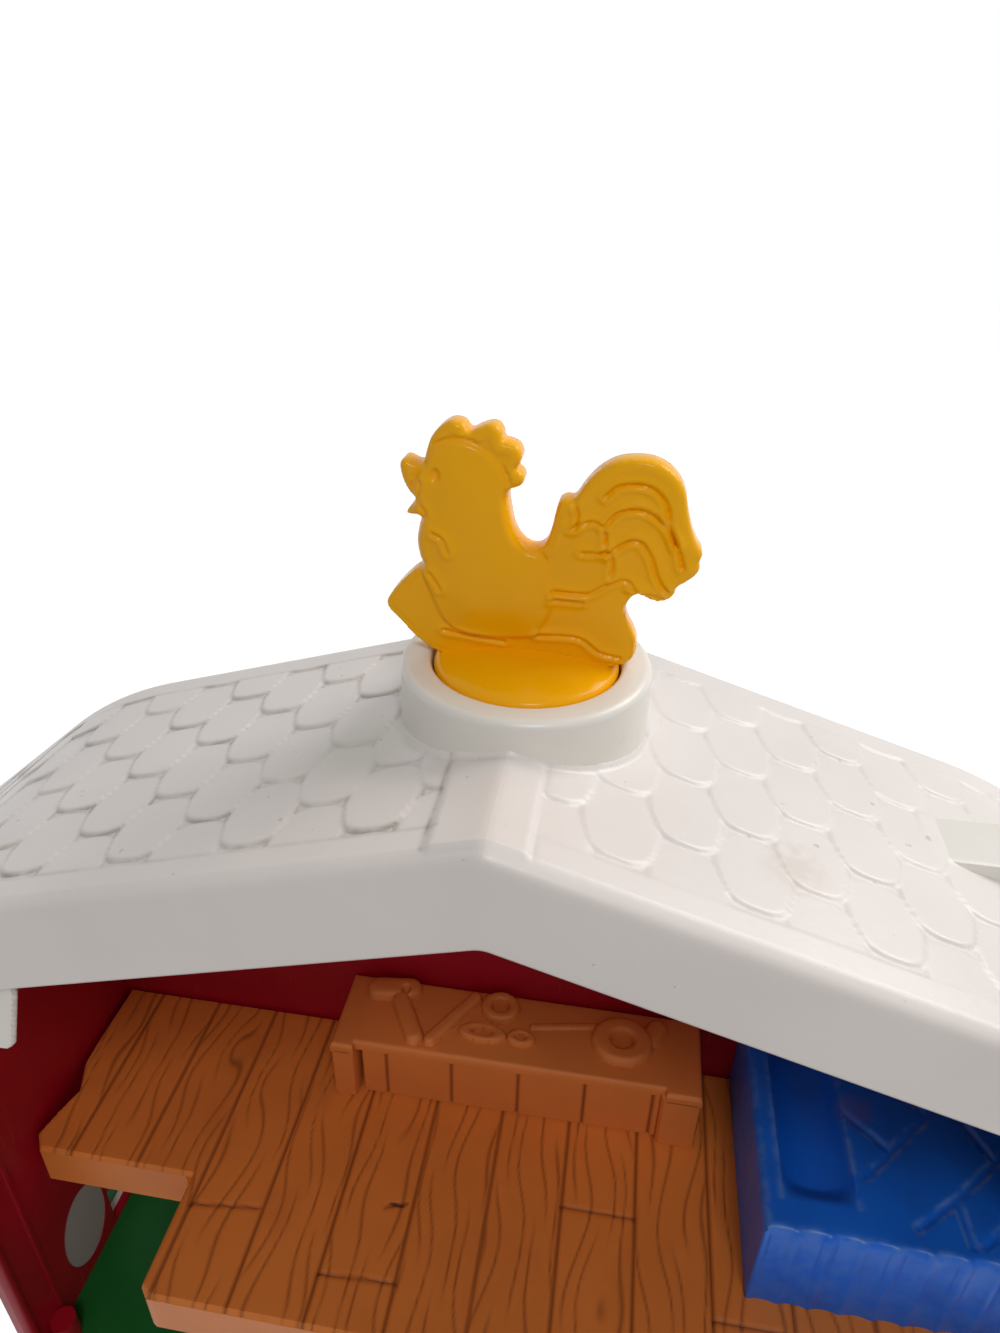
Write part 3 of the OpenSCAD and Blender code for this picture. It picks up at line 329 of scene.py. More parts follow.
shell = Plastic("white_shell", rgb(232, 226, 223), 0.34, 0.025)
# Painted shade and dirt: this mark darkens the shingles' rims, the ridge cap's edge, the lines along the
# borders and a ring round the collar's foot
shade_and_grime = shell.mark("shade_and_grime") * (0.35 + 0.65 * shell.noise(7, 3).ramp(0.32, 0.66))
shell.lay(shade_and_grime, rgb(150, 140, 130))
shell.lay(0.28 * shell.spot((-38, -8, 286), (22, 17, 20), 0.7), rgb(186, 196, 176))
shell.lay(0.3 * shell.spot((66, -22, 277), (12, 14, 12), 0.8) * shell.noise(5, 3).ramp(0.35, 0.6),
          rgb(196, 182, 166))
specks = shell.noise(3.2, 1).ramp(0.76, 0.82)
shell.lay(0.45 * specks, rgb(160, 150, 140))
shell.rough = shell.rough + 0.2 * shade_and_grime
shell.height = shell.height + 0.05 * shell.noise(2.4, 3)
shell.finish()

verge = np.radians(np.linspace(0, 90, 7)[1:])
half_section = np.vstack([
    np.stack([50 + 4 * np.sin(verge), 4 * np.cos(verge) - 4], 1),
    [[54, -9], [54, -14], [54, -19], [54, -23.8], [53.7, -24.6], [53, -25], [52, -25], [51.3, -24.6],
     [51, -23.8], [51, -14], [51, -5], [50.8, -3.5], [50, -3]],
])
across = np.linspace(-50, 50, 201)
section = np.vstack([
    np.stack([across, 0 * across], 1), half_section, [[25, -3], [0, -3], [-25, -3]],
    (half_section * [-1, 1])[::-1],
])
down = np.sort(np.append(np.linspace(0, SLOPE, 322), [SLOPE - 3.55, SLOPE - 3.45]))
VANE_Y = 10
SILO = (194, 10)
for side, name, cap_edge, seed, proud, slope_shade in (
    (-1, "roof_left", 13.0, 3, 0.85, 1.0),
    (1, "roof_right", 9.5, 8, 0.7, 0.25),
):
    s, y = np.meshgrid(down, section[:, 0], indexing="ij")
    base = np.broadcast_to(section[:, 1], s.shape)
    line_x, line_z, turn = roof_line(s)
    ridge_x = side * line_x
    on_top = (base > -0.01) * 1.0
    raised, shadow_and_dirt = shingles(s, y, seed)
    field = smooth((43.6 - np.abs(y)) / 1.2) * smooth((s - cap_edge) / 1.0) * smooth((SLOPE - 6 - s) / 1.2)
    if side > 0:
        # No shingles under the tongue
        field = field * smooth(np.maximum(np.abs(y - VANE_Y) - 9.5, 103 - line_x) / 1.5 + 1)
    relief = 0.35 + (raised * proud - 0.35) * field
    relief = relief + 0.6 * smooth((cap_edge - s) / 1.2)
    # The slope curves up into the collar, and lies low inside it
    rho = np.hypot(ridge_x, y - VANE_Y)
    foot = np.clip(1 - (rho - 31) / 1.6, 0, 1)
    relief = relief + 1.6 * (1 - np.sqrt(1 - np.minimum(foot, 0.999) ** 2)) * smooth((rho - 28) / 2)
    relief = np.where(rho < 27, -1.2, relief)
    # The rims' dark lines are dirt and painted shadow; the ridge cap's edge, the borders and a ring round
    # the collar's foot are darkened too
    joint = field * shadow_and_dirt
    cap_line = 0.9 * np.exp(-((s - cap_edge - 0.6) / 0.6) ** 2)
    edges = cap_line + np.exp(-((np.abs(y) - 43.3) / 0.6) ** 2) * 0.35
    collar_foot_dark = np.exp(-((rho - 32.4) / 0.9) ** 2) * 0.2
    darkened = np.clip(joint + edges * (s > cap_edge - 2) * 0.8 + collar_foot_dark, 0, 1)
    # Painted shade: full strength on the left slope, which lies in shade, and a quarter of it on the lit
    # right slope
    shade_and_grime_here = on_top * darkened * slope_shade
    lift = np.where(on_top > 0, relief, base)
    # Only the verge over the doors rises to meet its border, which stands 0.35 mm proud
    far_verge = (base > -4) & (base < 0) & (y > 49.9) & (y < 54.01)
    lift = np.where(far_verge, base + 0.35 * (1 + base / 4), lift)
    inner = (np.abs(y) < 51.2) & (base < -1) & (s > SLOPE - 3.5)
    lift = np.where(inner, np.minimum(lift, -12), lift)
    s_cut = s - lift * math.tan(SHALLOW) * np.clip(1 - s / 20, 0, 1)
    line_x, line_z, turn = roof_line(s_cut)
    x = np.maximum(line_x + lift * np.sin(turn), 0)
    z = line_z + lift * np.cos(turn)
    # The ridge is rounded over 2 mm on each side
    near = np.minimum(x, 2)
    z = z - math.tan(SHALLOW) * (near ** 2 / 4 + 1 - near)
    points = np.stack([side * x, y, z], -1).reshape(-1, 3)
    quads = grid_quads(len(down), len(section), closed=True)
    middle = points[quads].mean(1)
    if side > 0:
        quads = quads[np.hypot(middle[:, 0] - SILO[0], middle[:, 1] - SILO[1]) > 34.6]
        quads = quads[:, ::-1]
    ring = np.arange(len(section)) + (len(down) - 1) * len(section)
    faces = [*quads, ring if side < 0 else ring[::-1]]
    build(name, points, faces, shell, "root", ["roof_shell"], 50,
          {"shade_and_grime": shade_and_grime_here.ravel()})


def lathe(name, profile, centre, paint, body, nodes, closed=False, turns=160, angle=38):
    """Surface of revolution of a profile in radius and height about a vertical axis."""
    profile = np.asarray(profile, float)
    a = np.linspace(0, 2 * np.pi, turns, endpoint=False)
    r = profile[:, 0][None, :] * np.ones((turns, 1))
    z = profile[:, 1][None, :] * np.ones((turns, 1))
    points = np.stack([centre[0] + r * np.cos(a)[:, None], centre[1] + r * np.sin(a)[:, None], z], -1)
    rows = np.vstack([points, points[:1]]).reshape(-1, 3)
    quads = grid_quads(turns + 1, len(profile), closed) % (turns * len(profile))
    return build(name, rows[:turns * len(profile)], quads[:, ::-1], paint, body, nodes, angle)


def arc(centre, radius, first, last, count=6):
    """Points of an arc in radius and height, between two angles in degrees."""
    a = np.radians(np.linspace(first, last, count))
    return np.stack([centre[0] + radius * np.cos(a), centre[1] + radius * np.sin(a)], 1)


collar = Plastic("white_collar", rgb(236, 233, 226), 0.3, 0.02)
stain = collar.noise(6, 3).ramp(0.56, 0.74) * collar.axis(2).ramp(300, 292) * collar.axis(2).ramp(280, 286)
collar.lay(0.25 * stain, rgb(200, 196, 180))
# Painted shade on the shoulder's top behind the tongue
collar.lay(0.6 * collar.spot((140, 38, 253), (26, 18, 5), 0.3), rgb(176, 166, 158))
collar.finish()
lathe("vane_collar", np.vstack([
    [[31.3, 283.6], [31.2, 290]], arc((29.0, 303.0), 2.1, 0, 90), arc((25.0, 303.7), 1.4, 90, 180),
    [[23.6, 297.2], [23.6, 296], [9, 296], [5.4, 296], [5.1, 295.6], [5.1, 286], [5.5, 285.6], [9, 285.6],
     [9, 293], [28, 293], [28, 283.6]],
]), (0, VANE_Y), collar, "root", ["roof_shell"], closed=True)
lathe("silo_sleeve", np.vstack([
    [[36.4, 248], [36.4, 236.6], [36.8, 236], [38.2, 236], [38.7, 236.6]],
    arc((37.2, 249.4), 1.5, 0, 90), [[36.4, 250.9]],
]), SILO, collar, "root", ["roof_shell"], closed=True)

# Shoulder between the slope and the sleeve: its foot follows the roof
along = np.linspace(0, 232, 400)
foot_x, foot_z, _ = roof_line(along)
stations = np.linspace(126, 194, 50)
low = np.interp(stations, foot_x, foot_z) - 1.6
loop = np.vstack([
    [[-4, 0]], [[-4, 0.5]], [[-4, 0.97]],
    arc((-1, -3), 3, 180, 90), [[20, 0], [40, 0]], arc((51, -3), 3, 90, 0),
    [[54, 0.97]], [[54, 0.5]], [[54, 0]], [[40, 0.01]], [[20, 0.01]],
])
SHOULDER_Z = 251.0
y, h = loop[:, 0], loop[:, 1]
crown = np.isin(np.arange(len(loop)), np.arange(3, 17))
rows = []
for x, foot in zip(stations, low):
    side_z = foot + h * np.maximum(SHOULDER_Z - 3 - foot, 0.2)
    z = np.where(crown, np.maximum(SHOULDER_Z + h, foot), side_z)
    rows.append(np.stack([np.full(len(loop), x), y, z], 1))
rows = np.array(rows)
quads = grid_quads(len(stations), len(loop), closed=True)
ends = [np.arange(len(loop))[::-1], np.arange(len(loop)) + (len(stations) - 1) * len(loop)]
build("roof_shoulder", rows.reshape(-1, 3), [*quads, *ends], collar, "root", ["roof_shell"])


def spline(points, steps=6, closed=False):
    """Catmull-Rom curve through points, each span cut into steps."""
    p = np.asarray(points, float)
    if closed:
        p = np.vstack([p[-1], p, p[:2]])
    else:
        p = np.vstack([2 * p[0] - p[1], p, 2 * p[-1] - p[-2]])
    t = (np.arange(steps) / steps)[:, None]
    spans = [0.5 * (2 * b + (c - a) * t + (2 * a - 5 * b + 4 * c - d) * t ** 2
                    + (3 * b - a - 3 * c + d) * t ** 3)
             for a, b, c, d in zip(p, p[1:], p[2:], p[3:])]
    return np.vstack(spans + ([] if closed else [p[-2:-1]]))


def nearest(points, line):
    """Distance of each point to a line of points, and the nearest point on it."""
    best = np.full(len(points), 1e9)
    where = points.copy()
    for a, b in zip(line, line[1:]):
        ab = b - a
        t = np.clip((points - a) @ ab / max(ab @ ab, 1e-12), 0, 1)
        q = a + t[:, None] * ab
        d = np.hypot(*(points - q).T)
        closer = d < best
        best = np.where(closer, d, best)
        where[closer] = q[closer]
    return best, where


def depth_in(points, outline):
    """Signed distance to a closed outline, positive inside, and the nearest point on it."""
    ring = np.vstack([outline, outline[:1]])
    d, where = nearest(points, ring)
    inside = np.zeros(len(points), bool)
    for (x0, y0), (x1, y1) in zip(ring, ring[1:]):
        spans = (y0 > points[:, 1]) != (y1 > points[:, 1])
        cross = x0 + (points[:, 1] - y0) * (x1 - x0) / (y1 - y0 if y1 != y0 else 1)
        inside ^= spans & (points[:, 0] < cross)
    return np.where(inside, d, -d), where


def plate(name, outline, cell, front, back, place, paint, body, nodes,
          angle=38, marks=None, stretch=(1, 1)):
    """Closed plate over an outline, with relief on its two faces.

    A square grid is laid over the outline, the points within 0.6 of a cell of it are moved
    onto it, and what lies further out is dropped. front(p, d) and back(p, d) give the faces,
    d being the distance to the outline; place(a, b, c) turns them into x, y and z."""
    outline = np.asarray(outline, float)
    cells = np.array(stretch) * cell
    low, high = outline.min(0) - 0.5 * cells, outline.max(0) + cells
    a, b = np.meshgrid(*(np.arange(low[k], high[k], cells[k]) for k in (0, 1)), indexing="ij")
    shape = a.shape
    points = np.stack([a.ravel(), b.ravel()], 1)
    d, where = depth_in(points, outline)
    snap = np.abs(d) < 0.6 * cells.max()
    points[snap], d[snap] = where[snap], 0
    keep = d >= 0
    quads = grid_quads(*shape)
    held = keep[quads]
    whole = quads[held.all(1)]
    corners = quads[held.sum(1) == 3]
    triangles = corners[keep[corners]].reshape(-1, 3)
    used = np.zeros(len(points), bool)
    used[whole.ravel()] = True
    used[triangles.ravel()] = True
    index = np.cumsum(used) - 1
    points, d = points[used], d[used]
    faces = [index[whole], index[triangles]]
    count = len(points)
    edges = np.vstack([np.stack([f, np.roll(f, -1, 1)], -1).reshape(-1, 2) for f in faces])
    lone = ~np.isin(edges[:, 0] * count + edges[:, 1], edges[:, 1] * count + edges[:, 0])
    rim = edges[lone]
    wall = np.stack([rim[:, 1], rim[:, 0], rim[:, 0] + count, rim[:, 1] + count], 1)
    body_points = np.vstack([place(points[:, 0], points[:, 1], front(points, d)),
                             place(points[:, 0], points[:, 1], back(points, d))])
    listed = [*faces[0], *faces[1], *(faces[0][:, ::-1] + count), *(faces[1][:, ::-1] + count), *wall]
    given = {k: np.tile(f(points, d), 2) for k, f in (marks or {}).items()}
    piece = build(name, body_points, listed, paint, body, nodes, angle, given)
    if signed_volume(body_points, listed) < 0:
        piece.data.flip_normals()
    return piece


def signed_volume(points, faces):
    """Volume that the faces enclose, negative when they are inside out."""
    total = 0.0
    for size in (3, 4):
        some = np.array([f for f in faces if len(f) == size])
        if len(some):
            p = points[some]
            for k in range(1, size - 1):
                total += np.einsum("ij,ij->i", p[:, 0], np.cross(p[:, k], p[:, k + 1])).sum()
    return total


def rounded(d, radius):
    """How far a face lies below its top at a distance d from a rounded edge."""
    e = np.clip(radius - d, 0, radius)
    return radius - np.sqrt(radius ** 2 - e ** 2)


# Level tongue that comes out of the right slope towards the silo
tongue = spline([
    [103.4, 4], [103.4, 16], [106, 19], [111, 19.5], [148, 19.5],
    [151, 17], [151, 3], [148, 0.5], [111, 0.5], [106, 1]], 4, closed=True)
plate("roof_tongue", tongue, 0.7, lambda p, d: 263 - rounded(d, 1.6), lambda p, d: 237 + 0 * d,
      lambda a, b, c: np.stack([a, b, c], 1), collar, "root", ["roof_shell"])

# Clip tabs behind the fascia
for side, name in ((-1, "clip_tab_left"), (1, "clip_tab_right")):
    tab = [[118, 240], [118, 228], [123.6, 208.5], [125.5, 206.3], [130, 206], [132, 208], [132, 240]]
    plate(name, [[side * x, z] for x, z in tab][::-side], 0.6,
          lambda p, d: -51 + rounded(d, 1.0), lambda p, d: -48.6 - rounded(d, 1.0),
          lambda a, b, c: np.stack([a, c, b], 1), collar, "root", ["roof_shell"])

# ---------------------------------------------------------------- weather vane
# A yellow rooster in front of a weather-vane arrow, on a domed disc that turns
# in the collar. It is one glossy moulding with soft, pillowed relief.
yellow = Plastic("yellow_plastic", rgb(255, 182, 0), 0.2, 0.03, Specular_IOR_Level=0.16)
yellow.height = yellow.height + 0.03 * yellow.noise(5, 2)
yellow.finish()
lathe("vane_disc", np.vstack([
    [[1.55, 282.6], [5, 282.6], [5, 296.3], [22.7, 296.3], [23.0, 296.8]], arc((20.4, 303.1), 2.6, 0, 52),
    [[19.8, 306.1], [14.5, 307.5], [8, 308.3], [0.01, 308.6]],
]), (0, VANE_Y), yellow, "vane", ["rooster_vane"], angle=60)

rooster = spline([
    [-28.9, 58.6], [-27.6, 59.8], [-25.2, 58.9], [-23.7, 59.2], [-23.2, 61], [-22, 64.6],
    [-20.2, 66.9], [-18.1, 68.3], [-16.6, 68.5], [-15, 68], [-13.7, 66.5], [-11.7, 67.4],
    [-9.4, 68.2], [-7.8, 67.9], [-6.8, 66.5], [-6.5, 65], [-4.9, 64.6], [-3.3, 63.8], [-2.5, 62.2],
    [-2.7, 60.6], [-3.4, 59.2], [-2.3, 58.2], [-1.8, 57], [-2.2, 55.8], [-3.5, 55], [-4.9, 54.4],
    [-5.2, 52.4], [-4.7, 49.2], [-3.7, 45.4], [-1.6, 42.3], [0.9, 41.3], [3.3, 42.5], [4.6, 46.2],
    [5.3, 50], [6, 52.4], [7.5, 53.3], [9.2, 53.4], [11.1, 56.4], [13.7, 59.6], [17.2, 62],
    [21.2, 62.9], [25.2, 62.7], [28.6, 61.2], [31.1, 58.7], [32.5, 56], [33.3, 52.6], [34.7, 48.2],
    [36.2, 45.2], [37.5, 43.2], [37.1, 41.2], [37.3, 39.5], [36.2, 37.5], [34.1, 35.8],
    [32.9, 34.6], [32.5, 33], [30.7, 31.4], [28.2, 31.2], [25.7, 32.2], [24.3, 32.3], [22.9, 30.9],
    [22.2, 28.6], [22.9, 25.6], [24.4, 22.9], [25.5, 20.2], [25.4, 17.6], [24.2, 15.2],
    [20.5, 13.4], [12, 11.9], [0, 11.6], [-14, 11.8], [-21, 13.2], [-24.8, 15.4], [-27.5, 17.8],
    [-30.5, 21.2], [-32.8, 23.6], [-33.2, 25.2], [-32.2, 27.2], [-29.7, 30.4], [-27, 33.2],
    [-24.4, 35.4], [-25.1, 38], [-25.5, 41.4], [-25, 44.7], [-24.6, 47], [-27.4, 47.3],
    [-27.5, 48.3], [-25.7, 50.8], [-27.2, 52.8], [-28.5, 55.6]], 4, closed=True)
bird = spline([
    [-25, 56], [-23.4, 59.9], [-20.6, 63.2], [-16.5, 64.5], [-12.8, 64], [-9.2, 61.9], [-6, 57.9],
    [-4.9, 53], [-3.6, 47], [0, 42], [3, 39.5], [4.9, 34.1], [6, 30], [5.3, 26.3], [3.8, 23],
    [2.2, 20.3], [-4, 19.2], [-14, 19.6], [-19, 22], [-22.5, 29], [-25, 36],
    [-27, 42], [-26, 50]], 5, closed=True)
tail_ribs = [
    [(15.8, 54.7), (18.2, 57), (22.1, 57.8), (25.7, 57), (28.5, 54.1), (29.5, 50.4), (31.5, 45)],
    [(16.3, 48.3), (18.7, 51.2), (22.7, 52.3), (26.3, 51.2), (29.7, 48.2), (32.2, 44), (33.5, 40)],
    [(17.4, 42.2), (19.3, 43.5), (21.8, 45.1), (24.4, 44.8), (26.8, 41.3), (28.3, 37.4), (30.2, 34.7),
     (33.5, 33.2)],
]
scallops = [
    [(8.8, 46.8), (10.3, 47.8), (13.2, 48.8), (15.8, 47.7), (16.7, 43.3), (16, 42)],
    [(11.5, 41.5), (14.7, 41.7), (17.4, 42.2), (18.6, 39), (18.2, 36.5)],
    [(9.4, 53), (10.2, 49.5), (9.8, 47)],
]
arrow_lines = [
    [(5.6, 31.8), (13.5, 31.8), (17, 34), (21.5, 35.8), (24, 33.6)],
    [(5.8, 29.7), (12.3, 29.7)], [(2.6, 20.2), (12, 20.4), (17, 17.2), (22, 16.2)],
    [(-19.5, 19.4), (-10, 18.4), (-5, 17.8)], [(-22.5, 34.2), (-20.6, 31.5), (-20.2, 30.4)],
    [(-21.5, 44.1), (-19.1, 42.8), (-18, 39.8)], [(-24.3, 55.4), (-24.6, 51), (-23, 48.3), (-24.3, 46.4)],
]


def rooster_relief(p, d):
    """Height of the vane's relief above its plain plate.

    The bird's body stands 1.3 mm proud inside its own outline and swells to 2.2 mm; a rim
    0.7 mm high follows the comb and tail; feathers and folds are soft grooves."""
    inner, _ = depth_in(p, bird)
    swell = 1.2 * smooth((inner + 0.4) / 1.2) + 1.2 * smooth(inner / 9)
    outer = (p[:, 1] > 33) & ~((inner > -1) & (p[:, 0] < 4))
    rim = 0.6 * np.exp(-((d - 1.7) / 1.2) ** 2) * outer
    height = swell + rim
    for line in tail_ribs:
        t, _ = nearest(p, spline(line))
        height += 0.7 * np.exp(-((t - 1.0) / 0.8) ** 2) - 0.6 * np.exp(-(t / 0.55) ** 2)
    for line in scallops + arrow_lines:
        t, _ = nearest(p, spline(line))
        height += 0.5 * np.exp(-((t - 0.9) / 0.8) ** 2) - 0.5 * np.exp(-(t / 0.5) ** 2)
    eye = np.hypot((p[:, 0] + 20.8) / 1.1, (p[:, 1] - 57.1) / 1.5)
    height -= 1.0 * np.exp(-eye ** 4)
    return height - 1.0


# The outline is drawn 57 mm high and the real rooster is 59 mm high
HALF_THICK = 4.4
plate("vane_rooster", rooster, 0.4,
      lambda p, d: VANE_Y - HALF_THICK + rounded(d, 2.2) - rooster_relief(p, d) * smooth(d / 1.6),
      lambda p, d: VANE_Y + HALF_THICK - rounded(d, 2.2) + rooster_relief(p, d) * smooth(d / 1.6),
      lambda a, b, c: np.stack([a * 59 / 57, c, 303.8 + (b - 11.6) * 59 / 57], 1),
      yellow, "vane", ["rooster_vane"], angle=60)

# ---------------------------------------------------------------- loft floor
# A brown moulding of wide planks that run in depth, with engraved grain, a few
# board ends, and a step back at its left; hollow and ribbed underneath.
brown = Plastic("brown_planks", rgb(216, 124, 54), 0.44, 0.06, Specular_IOR_Level=0.25)
soot = brown.mark("groove")
brown.lay(0.9 * soot, rgb(84, 38, 18))
brown.lay(0.35 * brown.noise(24, 4).ramp(0.5, 0.75), rgb(188, 102, 46))
brown.lay(0.85 * brown.spot((-32.5, -20.6, 109), (3.6, 0.9, 3), 0.5), rgb(70, 34, 20))
brown.height = brown.height + 0.05 * brown.noise(1.6, 4)
brown.finish()
PLANK_X0, PLANK = -100.0, 24.3
LOFT_TOP, WALL_Y = 109, 47.2
loft_outline = [
    [-160, -22.5], [-164, -17], [-161.8, -8], [-159, 1], [-163.2, 12], [-163.6, 24], [-163.2, 40],
    [-163.2, WALL_Y], [164.7, WALL_Y], [164.7, -45], [153, -45], [153, -57], [150, -60], [-101, -60],
    [-104, -57], [-104, -22.5]]


def wood(p):
    """Depth of the planks' joints and grain at points of the loft.

    Grain lines are the level lines of a field that runs across each plank, bent by slow
    waves and pushed apart round an eye, so that they wander, fork and close."""
    rng = np.random.default_rng(21)
    plank = np.floor((p[:, 0] - PLANK_X0) / PLANK).astype(int) + 4
    u = (p[:, 0] - PLANK_X0) % PLANK
    a, b, c, e, f = (rng.uniform(0, 2 * np.pi, 20)[plank] for _ in range(5))
    y = p[:, 1]
    field = u / 4.3 + 0.5 * np.sin(y / 16 + a + u / 11) + 0.32 * np.sin(y / 7.5 + b - u / 7)
    eye_u, eye_y = 6 + 2 * e, -44 + 14 * f
    field += 1.1 * np.exp(-(((u - eye_u) / 4.6) ** 2 + ((y - eye_y) / 13) ** 2))
    number = np.floor(field)
    alive = smooth(1.4 * np.sin(y / 17 + number * 2.3 + c) + 0.9)
    line = np.exp(-((field - number - 0.5) / 0.095) ** 2)
    grain = line * alive * smooth(u / 1.5) * smooth((PLANK - u) / 1.5)
    gap = np.exp(-(np.minimum(u, PLANK - u) / 0.6) ** 2)
    return 0.4 * grain, gap


def loft_joints(p):
    """Board ends at two places, and one short dent, as narrow grooves."""
    out = np.zeros(len(p))
    for line in ([[-100, -31.4], [-77, -29]], [[-51.4, -44.9], [-27.1, -43.8]], [[21.5, -12], [45.8, -12]],
                 [[70.1, -38], [94.4, -38]], [[-36, -21.9], [-29.2, -19.6]], [[118.7, -20], [143, -20]]):
        t, _ = nearest(p, np.array(line, float))
        out = np.maximum(out, np.exp(-(t / 0.55) ** 2))
    return out


def loft_top(p, d):
    grain, gap = wood(p)
    return LOFT_TOP - rounded(d, 1.6) - (grain + 0.7 * gap + 0.45 * loft_joints(p)) * smooth(d / 1.2)


def loft_marks(p, d):
    grain, gap = wood(p)
    return np.clip(1.5 * grain + 0.8 * gap + 0.7 * loft_joints(p), 0, 1)


def loft_under(p, d):
    """Underside: a 3 mm skirt and ribs at every second plank, else 3 mm below the top."""
    rib = np.abs((p[:, 0] + 104) % (2 * PLANK) - 1) < 1.3
    return np.where((d < 3.4) | rib, 91.0, 106.0)


def flat(a, b, c):
    """A plate that lies level: its outline is in x and y."""
    return np.stack([a, b, c], 1)


plate("loft_boards", loft_outline, 0.62, loft_top, lambda p, d: 107.4 + 0 * d, flat, brown, "root",
      ["loft_floor"], marks={"groove": loft_marks}, stretch=(1, 1.4))
plate("loft_underside", loft_outline, 1.5, lambda p, d: 107.5 + 0 * d, loft_under, flat, brown, "root",
      ["loft_floor"], marks={"groove": lambda p, d: 0 * d})

# ---------------------------------------------------------------- workbench
# Brown bench of upright boards between two legs, whose top carries moulded
# tools: a hammer, a file, a nut, pliers, a rule and a roll of tape.
bench = Plastic("brown_bench", rgb(214, 124, 62), 0.42, 0.05, Specular_IOR_Level=0.25)
bench.lay(0.8 * bench.mark("groove"), rgb(100, 46, 22))
bench.height = bench.height + 0.04 * bench.noise(1.8, 4)
bench.finish()


def bar(p, ends, radius, top):
    """Rounded bar lying between two points: its height is a flattened half round."""
    t, _ = nearest(p, np.array(ends, float))
    return top * np.sqrt(np.clip(1 - (t / radius) ** 4, 0, 1))


def ring_form(p, centre, size, hole, top):
    """Flat ring with a rounded section, between a hole and an outer ellipse."""
    q = (p - centre) / size
    r = np.hypot(q[:, 0], q[:, 1])
    middle, half = (1 + hole) / 2, (1 - hole) / 2
    return top * np.sqrt(np.clip(1 - ((r - middle) / half) ** 4, 0, 1))


def bench_tools(p):
    """Height of the tools above the bench top; they overlap as the highest of them."""
    forms = [
        bar(p, [[-44.6, 37], [-36.5, 23]], 3.4, 3.2), bar(p, [[-54, 41], [-42.5, 42.5]], 4.6, 3.6),
        bar(p, [[-17.5, 42.5], [-30.5, 22.2]], 2.4, 3.0),
        ring_form(p, (-7.6, 39.8), (7.2, 6.4), 0.42, 3.2),
        ring_form(p, (-12.5, 28.2), (8.8, 3.8), 0.42, 2.4),
        ring_form(p, (1.5, 28.4), (5.2, 3.2), 0.35, 2.2),
        bar(p, [[5, 34.4], [28, 38.6]], 1.2, 0.9), ring_form(p, (37.4, 33), (11, 9.6), 0.34, 3.4),
        bar(p, [[47, 36], [50, 41]], 3.6, 2.4),
    ]
    dent = np.exp(-(np.hypot(p[:, 0] + 43.6, p[:, 1] - 40.8) / 1.5) ** 4) * 2.6
    return np.max(forms, axis=0) - dent


def tool_marks(p, d):
    h = bench_tools(p)
    near = np.exp(-((h - 0.25) / 0.3) ** 2) * (h > 0.02)
    return np.clip(0.5 * near, 0, 1)


plate("bench_top", [[-65.5, 15.2], [-57, 15.2], [-57, 17.4], [53, 17.4], [53, 15.2], [65.5, 15.2],
                    [65.5, WALL_Y], [-65.5, WALL_Y]], 0.4,
      lambda p, d: 137 - rounded(d, 1.4) + bench_tools(p), lambda p, d: 133 + 0 * d, flat, bench, "root",
      ["workbench"], marks={"groove": tool_marks})
BOARD_JOINTS = (-45.9, -22.0, 2.1, 25.7, 49.4)


def bench_gap(p, d):
    near = np.min([np.abs(p[:, 0] - x) for x in BOARD_JOINTS], axis=0)
    return np.exp(-(near / 0.55) ** 2)


def upright(a, b, c):
    """A plate that stands across the barn: its outline is in x and z."""
    return np.stack([a, c, b], 1)


plate("bench_front", [[-55, 109], [52.5, 109], [52.5, 133.5], [-55, 133.5]], 0.5,
      lambda p, d: 18.2 + 0.8 * bench_gap(p, d) + rounded(d, 0.8), lambda p, d: 22.2 + 0 * d, upright,
      bench, "root", ["workbench"], marks={"groove": bench_gap})
for name, x0, x1 in (("bench_leg_left", -65.5, -57), ("bench_leg_right", 52, 65.5)):
    plate(name, [[x0, 109], [x1, 109], [x1, 135], [x0, 135]], 0.6,
          lambda p, d: 15.2 + rounded(d, 1.2), lambda p, d: WALL_Y + 0 * d, upright, bench, "root",
          ["workbench"], marks={"groove": lambda p, d: 0 * d})

# ---------------------------------------------------------------- stone deck
# Blue moulding: a round-bottomed channel on its left and flagstones on its
# right, over a soft fluted front. Its raised edges are paler, with wear and painted highlight.
blue = Plastic("blue_stone", rgb(14, 104, 220), 0.34, 0.07, Specular_IOR_Level=0.3)
wear_and_highlight = blue.mark("wear_and_highlight") * blue.noise(6, 4).ramp(0.36, 0.6)
# Wear and painted highlight: the channel's lips, the flagstones' edges and the outline are laid paler
blue.lay(0.55 * wear_and_highlight, rgb(120, 160, 205))
blue.lay(0.35 * blue.noise(15, 4).ramp(0.5, 0.72), rgb(20, 84, 180))
blue.lay(0.3 * blue.spot((112, 13, 147), (8, 7, 8), 0.6), rgb(110, 96, 150))
blue.height = blue.height + 0.12 * blue.noise(5, 3)
blue.finish()
u = np.linspace(80.6, 164.6, 85)
front_edge = np.stack([u, -30.4 + 0.9 * np.abs(np.sin((u - 80) * np.pi / 9.3)) ** 0.7 - 0.9], 1)
deck_outline = np.vstack([[[80, 47]], [[80, -29.6]], front_edge + [0, 0.9], [[164.6, 47]]])
FLAGS = [
    [(108, 24), (106.5, 8), (106.2, -18), (105.4, -27)],
    [(120.8, 0.2), (134.6, 14.4), (146, 26)], [(120.8, 0.2), (112, -9)], [(108, 12), (120.8, 0.2)],
    [(137.1, -11.9), (152.2, 2.1), (164, 12)], [(137.1, -11.9), (138.3, -25.3)],
    [(137.1, -11.9), (124, -22)],
    [(141.4, -24.8), (146.5, -20.3), (164, -8)], [(134.6, 14.4), (126, 26), (128, 40)],
    [(152.2, 2.1), (146, 14)],
    [(146, 26), (150, 44)], [(126, 26), (112, 34)],
]


